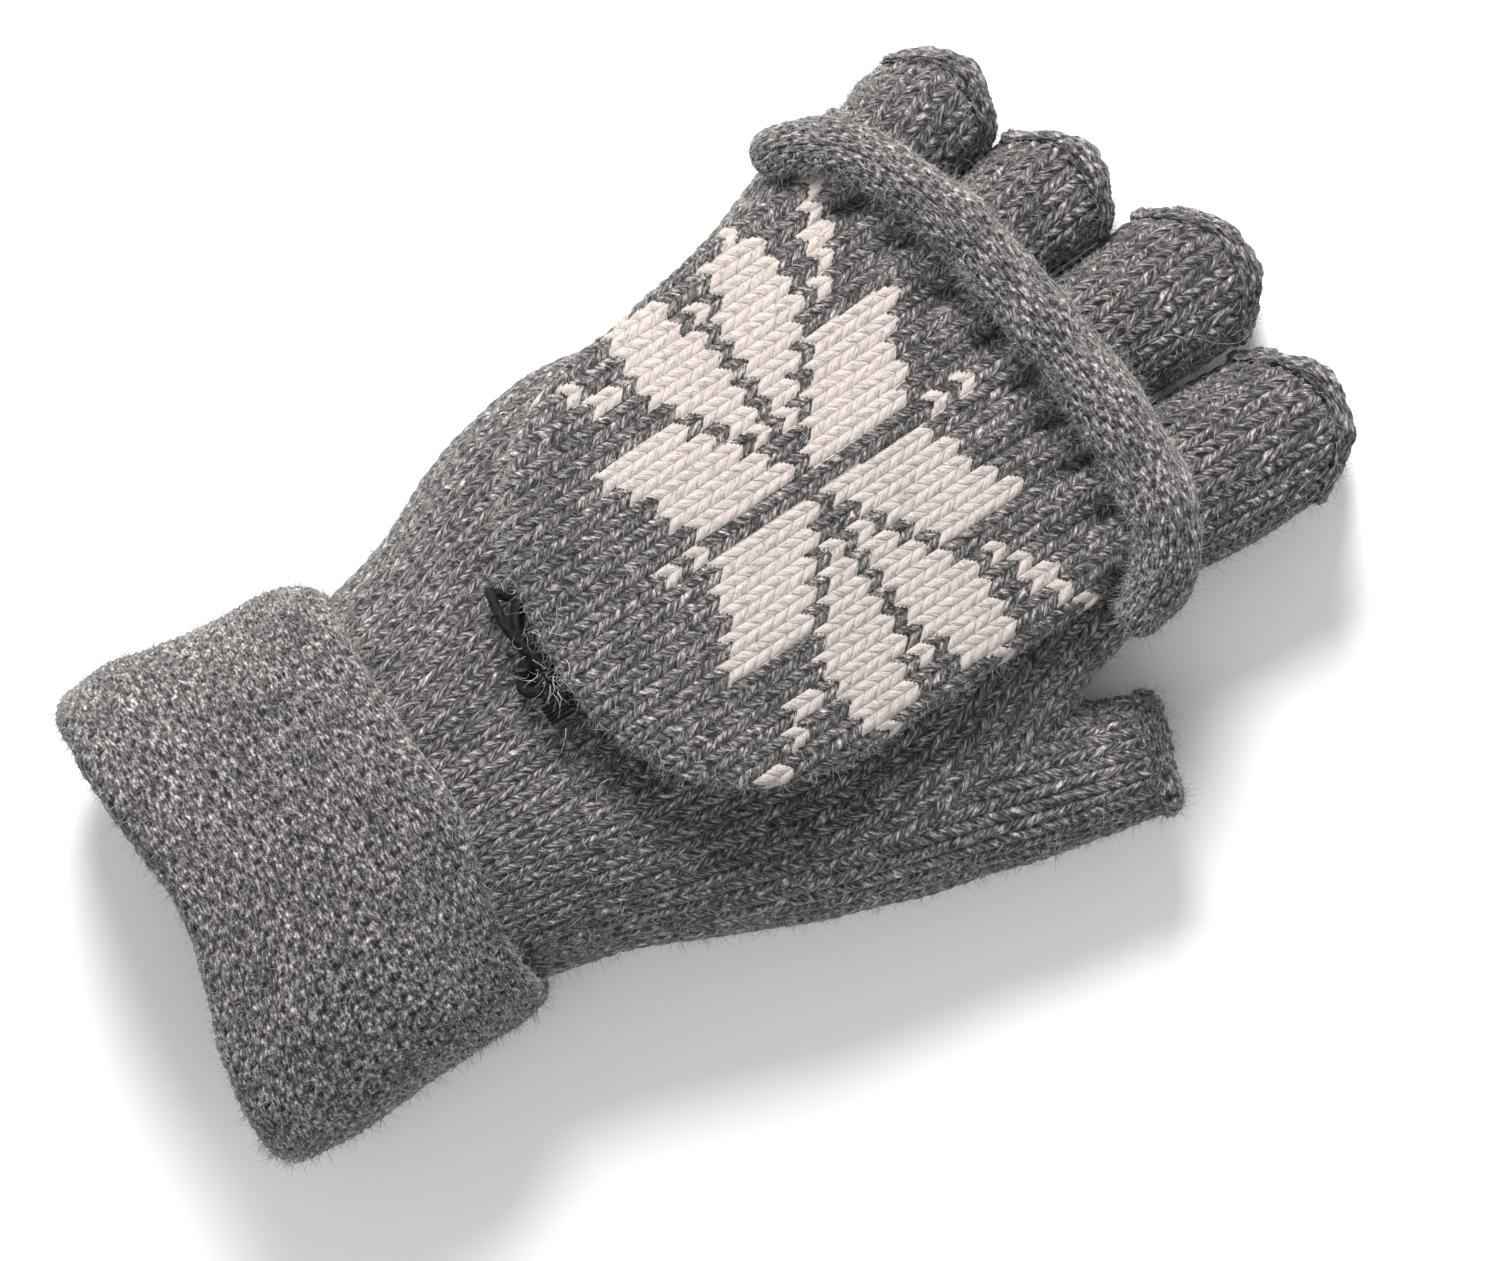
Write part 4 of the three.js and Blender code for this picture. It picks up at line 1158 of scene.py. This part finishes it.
def mouth_roll_skin():
    """The cap's mouth rolls outwards, so its wrong side shows; both ends are tucked in."""
    path, at = even_path(through(MOUTH_ROLL, 24), WALE / 8)
    centre, radius = path[:, :3], path[:, 3]
    radius = radius + bulge("mouth roll", centre)
    share, tuck = round_ends(at, radius)
    radius = radius * np.maximum(share, 0.01)
    direction, _ = around(*tube_frames(centre), -math.pi / 2, ROLL_COLUMNS)
    points = centre[:, None] + direction * radius[:, None, None]
    columns = np.broadcast_to((at / WALE)[:, None], points.shape[:2])
    rows = np.broadcast_to(np.arange(ROLL_COLUMNS) / ROLL_COLUMNS * ROLL_ROWS, points.shape[:2])
    height, share, own = stitch_relief(columns, rows, np.ones(points.shape[:2]), 42)
    lift = (height + bulge("mouth roll lumps", points)) * tuck[:, None] - SURFACE_INSET
    points = points + grid_normals(points, True, False) * lift[..., None]
    faces = grid_faces(*points.shape[:2], True, False)
    uv = wrapped_uv(columns, rows, faces, ROLL_COLUMNS, (0.0, ROLL_ROWS))
    values = dict(relief=share, purl=np.ones_like(share), tint=own, cream=np.zeros_like(share))
    piece = mesh_object("mouth_roll_wool", points, faces, uv, values)
    fit(piece, PURL_WOOL, "purl_side_wool", opening_blend(), "cap_mouth_roll")
    return points, grid_normals(points, True, False)


# ---- cords, thread and button
def carried_frames(path):
    """Two directions square to a path, carried along it without twisting."""
    tangent = unit(np.gradient(path, axis=0))
    side = np.cross(tangent[0], OBLIQUE)
    sides = []
    for direction in tangent:
        side = unit(side - direction * np.dot(side, direction))
        sides.append(side)
    sides = np.array(sides)
    return sides, np.cross(tangent, sides)


def rope(route, radius, relief, depth, sides, spacing):
    """Points, faces and relief of a cord along a route, then its path and length.

    relief gives 0 to 1 over angle and length, and depth is how deep it goes.
    """
    path, at = even_path(np.asarray(route, float), spacing)
    direction, angle = around(*carried_frames(path), 0, sides, -1.0)
    share = relief(angle[None, :], at[:, None] / radius)
    end, _ = round_ends(at, radius)
    size = radius * (1 - depth * (1 - share)) * np.maximum(end, 1e-3 ** 0.5)[:, None]
    points = (path[:, None] + direction * size[..., None]).reshape(-1, 3)
    return (points, grid_faces(*size.shape, True, False), share.ravel()), path, at[-1]


def braid(angle, length):
    strands = [np.abs(np.sin(2 * angle + lean * length)) for lean in (1.1, -1.1)]
    return np.maximum(*strands)


def twist(angle, length):
    return np.abs(np.cos(1.5 * angle + 0.9 * length))


def thread(route, radius, sides=8, spacing=0.25, depth=0.3):
    return rope(route, radius, twist, depth, sides, spacing)[0]


def join(name, cords):
    """One piece made of several cords."""
    points, faces, relief = zip(*cords)
    starts = np.cumsum([0] + [len(p) for p in points[:-1]])
    faces = np.concatenate([f + start for f, start in zip(faces, starts)])
    return mesh_object(name, np.concatenate(points), faces, None, dict(relief=np.concatenate(relief)))


def elastic_loop():
    cord, path, length = rope(through(LOOP_ROUTE, 16), LOOP_RADIUS, braid, 0.18, 24, 0.16)
    piece = join("elastic_cord", [cord])
    fit(piece, BRAID, "black_elastic", "cap_back", "elastic_loop")


def loop_tack():
    """Windings round both ends of the loop, and stitches that hold them to the cap."""
    turns = np.linspace(0, TACK["turns"] * 2 * math.pi, 420)
    x = TACK["start"] + turns / turns[-1] * TACK["length"]
    y = TACK["y"] + TACK["reach"] * np.cos(turns)
    z = TACK["z"] + TACK["height"] * np.sin(turns)
    parts = [thread(np.stack([x, y, z], axis=1), TACK["radius"], 10, 0.2)]
    for start in TACK_STITCHES:
        stitch = [(start + x, y, z) for x, y, z in TACK_STITCH]
        parts.append(thread(through(stitch, 12), THREAD_RADIUS, 10, 0.2))
    fit(join("tack_thread", parts), THREAD, "sewing_thread", "cap_back", "loop_tack")


def button_strand(turn, shift):
    """A strand that comes up through one hole and goes down through the opposite one."""
    c, s = math.cos(math.radians(turn)), math.sin(math.radians(turn))
    reach = BUTTON["spread"] * 1.414
    route = []
    for place, z in STRAND:
        lift = STRAND_CROSSING if place == 0 and turn > 90 else 0.0
        d = place * reach
        route.append((BUTTON["x"] + d * c - shift * s, BUTTON["y"] + d * s + shift * c, z + lift))
    return thread(through(route, 12), STRAND_RADIUS, 8, 0.15)


def button_thread():
    """Thread through the four holes, crossed on top, and wound round the shank under the button."""
    parts = [button_strand(turn, shift) for turn in (45, 135) for shift in STRAND_SHIFTS]
    turns = np.linspace(0, SHANK["turns"] * 2 * math.pi, 540)
    x = BUTTON["x"] + SHANK["radius"] * np.cos(turns)
    y = BUTTON["y"] + SHANK["radius"] * np.sin(turns)
    z = SHANK["z"] + turns / turns[-1] * SHANK["length"]
    parts.append(thread(np.stack([x, y, z], axis=1), THREAD_RADIUS))
    fit(join("button_sewing_thread", parts), THREAD, "sewing_thread", "glove", "button_thread")


def chaikin(points, rounds):
    """Corners of a profile cut off again and again, so that it runs smoothly."""
    points = np.array(points, float)
    for _ in range(rounds):
        pairs = [lerp(points[:-1], points[1:], share) for share in (0.25, 0.75)]
        cut = np.stack(pairs, axis=1)
        points = np.vstack([points[:1], cut.reshape(-1, 2), points[-1:]])
    return points


def lathe(name, profile, x, y, sides):
    """A closed turned shape from a profile that starts and ends on its axis."""
    angle = np.linspace(0, 2 * math.pi, sides, endpoint=False)
    rings = profile[1:-1]
    points = np.stack([x + rings[:, :1] * np.cos(angle), y + rings[:, :1] * np.sin(angle),
                       np.broadcast_to(rings[:, 1:], (len(rings), sides))], axis=-1).reshape(-1, 3)
    quads = grid_faces(len(rings), sides, True, False, 0, True)
    mesh = bpy.data.meshes.new(name)
    top, bottom = list(range(len(points) - sides, len(points))), list(range(sides))[::-1]
    mesh.from_pydata((points * MM).tolist(), [], quads.tolist() + [top, bottom])
    mesh.polygons.foreach_set("use_smooth", np.ones(len(mesh.polygons), bool))
    return show(name, mesh)


def button():
    """A turned button with its four holes cut."""
    x, y, radius = BUTTON["x"], BUTTON["y"], BUTTON["hole"]
    piece = lathe("black_button", chaikin(BUTTON_PROFILE, 3), x, y, BUTTON_SIDES)
    low, high = DRILL_HEIGHTS
    bore = np.array([(0.0, low), (radius, low), (radius, high), (0.0, high)])
    drills = []
    for i, j in ((1, 1), (-1, 1), (-1, -1), (1, -1)):
        drill = lathe("drill", bore, x + i * BUTTON["spread"], y + j * BUTTON["spread"], DRILL_SIDES)
        modifier = piece.modifiers.new("hole", "BOOLEAN")
        modifier.operation = "DIFFERENCE"
        modifier.solver = "EXACT"
        modifier.object = drill
        drills.append(drill)
    cut = bpy.data.meshes.new_from_object(piece.evaluated_get(bpy.context.evaluated_depsgraph_get()))
    piece.modifiers.clear()
    piece.data = cut
    for drill in drills:
        bpy.data.objects.remove(drill)
    cut.materials.clear()
    fit(piece, PLASTIC, "black_button", "glove", "button")


def linking_seam():
    """A chain of stitches that links the cap to the hand: two strands that cross at each stitch."""
    x = np.arange(SEAM["left"], SEAM["right"], 0.25)
    parts = []
    for phase in (0, math.pi):
        turn = 2 * math.pi * (x - SEAM["left"]) / CHAIN["stitch"] + phase
        y = HINGE_Y + CHAIN["width"] * np.sin(turn)
        z = SEAM["z"] + CHAIN["height"] * np.cos(2 * turn)
        parts.append(thread(np.stack([x, y, z], axis=1), CHAIN["radius"], 10, depth=0.25))
    fit(join("linking_stitches", parts), GREY_FIBRE, "linking_yarn", "glove", "cap_linking_seam")


# ---- loose fibres
def fibre_mesh(name, roots, directions, lengths, radius, curl, seed, joints=4):
    """Thin tapered hairs that curl as they leave the fabric."""
    rng = np.random.default_rng(seed)
    count = len(roots)
    heading, place = directions, roots
    bend = rng.normal(size=(count, 3)) * curl
    rings = []
    step = lengths / (joints - 1)
    for k in range(joints):
        side = unit(np.cross(heading, FIBRE_SIDE))
        up = np.cross(heading, side)
        size = radius * (1 - FIBRE_TAPER * k / (joints - 1))
        for corner in range(3):
            angle = corner * 2 * math.pi / 3
            rings.append(place + size * (side * math.cos(angle) + up * math.sin(angle)))
        heading = unit(heading + bend)
        bend = bend + rng.normal(size=(count, 3)) * curl * FIBRE_WANDER
        place = place + heading * step[:, None]
    points = np.stack(rings, axis=1)
    base = np.arange(count)[:, None, None] * (3 * joints)
    quads = []
    for k in range(joints - 1):
        for corner in range(3):
            other = (corner + 1) % 3
            quads.append([3 * k + corner, 3 * k + other, 3 * k + 3 + other, 3 * k + 3 + corner])
    faces = (base + np.array(quads)[None]).reshape(-1, 4)
    return mesh_object(name, points, faces)


def fuzz(name, skin, count, seed, place, above=-math.inf):
    """Hairs over a skin; above leaves out what lies lower."""
    rng = np.random.default_rng(seed)
    points, normals = (grid.reshape(-1, 3) for grid in skin)
    high = points[:, 2] > above
    points, normals = points[high], normals[high]
    chosen = rng.integers(0, len(points), count)
    roots, out = points[chosen], normals[chosen]
    directions = unit(out + rng.normal(size=roots.shape) * FUZZ["lean"])
    lengths = rng.uniform(*FUZZ["length"], size=count) * rng.uniform(0.5, 1.0, size=count)
    roots = roots - FUZZ["depth"] * out
    piece = fibre_mesh(name, roots, directions, lengths, FUZZ["radius"], FUZZ["curl"], seed)
    return fit(piece, GREY_FIBRE, "grey_wool", place)


def long_curls(name, centre, spread, count, length, curl, seed, place):
    """A few long curly fibres that lie loosely on the fabric round a point."""
    rng = np.random.default_rng(seed)
    roots = np.array(centre) + rng.normal(size=(count, 3)) * spread
    directions = unit(rng.normal(size=(count, 3)) * CURL_SPREAD)
    lengths = rng.uniform(0.5, 1.0, size=count) * length
    piece = fibre_mesh(name, roots, directions, lengths, CURL_RADIUS, curl, seed, joints=14)
    return fit(piece, PALE_FIBRE, "grey_wool", place)


# ---- camera, floor and light
def make_camera():
    data = bpy.data.cameras.new("camera")
    data.lens = LENS
    data.sensor_width = SENSOR
    data.clip_start, data.clip_end = 0.05, 10.0
    camera = show("camera", data)
    back = VIEW_RIGHT.cross(VIEW_UP).normalized()
    turn = Matrix((VIEW_RIGHT, VIEW_UP, back)).transposed()
    camera.rotation_euler = turn.to_euler()
    camera.location = VIEW_CENTRE + back * (VIEW_WIDTH * LENS / SENSOR)
    bpy.context.scene.camera = camera


def area_light(name, position, size, power, colour):
    data = bpy.data.lights.new(name, "AREA")
    data.shape = "DISK"
    data.size = size
    data.energy = power
    data.color = colour
    light = show(name, data)
    light.location = position
    light.rotation_euler = (VIEW_CENTRE - Vector(position)).to_track_quat("-Z", "Y").to_euler()


def make_stage():
    sides = ((-1, -1), (1, -1), (1, 1), (-1, 1))
    corners = [(i * FLOOR_SIZE, j * FLOOR_SIZE, FLOOR_Z) for i, j in sides]
    floor = mesh_object("floor", corners, [[0, 1, 2, 3]])
    s = Shader("pale_floor")
    s.set(Base_Color=(0.93, 0.93, 0.93, 1.0), Roughness=0.9)
    floor.data.materials.append(s.material)
    world = bpy.data.worlds.new("studio")
    bpy.context.scene.world = world
    world.use_nodes = True
    background = world.node_tree.nodes["Background"]
    background.inputs["Color"].default_value = SKY_COLOUR
    background.inputs["Strength"].default_value = SKY_STRENGTH
    area_light("key", (-0.68, 0.34, 0.64), 0.42, 18.5, (1.0, 0.985, 0.965))
    area_light("fill", (0.2, -0.3, 0.95), 0.8, 2.5, (0.97, 0.98, 1.0))
    bpy.context.scene.view_settings.view_transform = "Standard"


# ---- all pieces
hand = hand_skin()
wrist_skin()
cuff = cuff_skin()
fingers = {name: finger_skins(name, finger, 10 + 3 * k) for k, (name, finger) in enumerate(FINGERS.items())}
thumb, gusset, thumb_blend = thumb_skins()
cap_front = cap_front_skin()
cap_back_skin()
mouth_roll = mouth_roll_skin()
linking_seam()
button()
button_thread()
elastic_loop()
loop_tack()

for k in range(2):
    fuzz(f"hand_fuzz_{k}", hand, 8000, 51 + 100 * k, "glove")
    fuzz(f"cuff_fuzz_{k}", cuff, 8000, 52 + 100 * k, "cuff")
fuzz("gusset_fuzz", gusset, 3500, 57, thumb_blend)
fuzz("cap_front_fuzz", cap_front, 8000, 53, opening_blend(), above=36.0)
fuzz("mouth_roll_fuzz", mouth_roll, 6000, 54, opening_blend())
fuzz("thumb_fuzz", thumb, 1500, 55, "thumb")
long_curls("tip_tangle", (-11.0, -24.6, 44.6), (2.6, 1.0, 0.5), 42, 6.0, 0.34, 81, opening_blend())
long_curls("cap_curls", (-8.0, -20.0, 49.0), (9.0, 3.0, 0.4), 24, 7.0, 0.16, 82, opening_blend())
squeeze(long_curls("middle_curl", (0.5, 88.0, 27.8), (0.8, 2.5, 0.1), 5, 15.0, 0.2, 83, "middle"))
for k, (name, skin) in enumerate(fingers.items()):
    squeeze(fuzz(f"{name}_fuzz", skin, 2600, 60 + k, name))

make_camera()
make_stage()
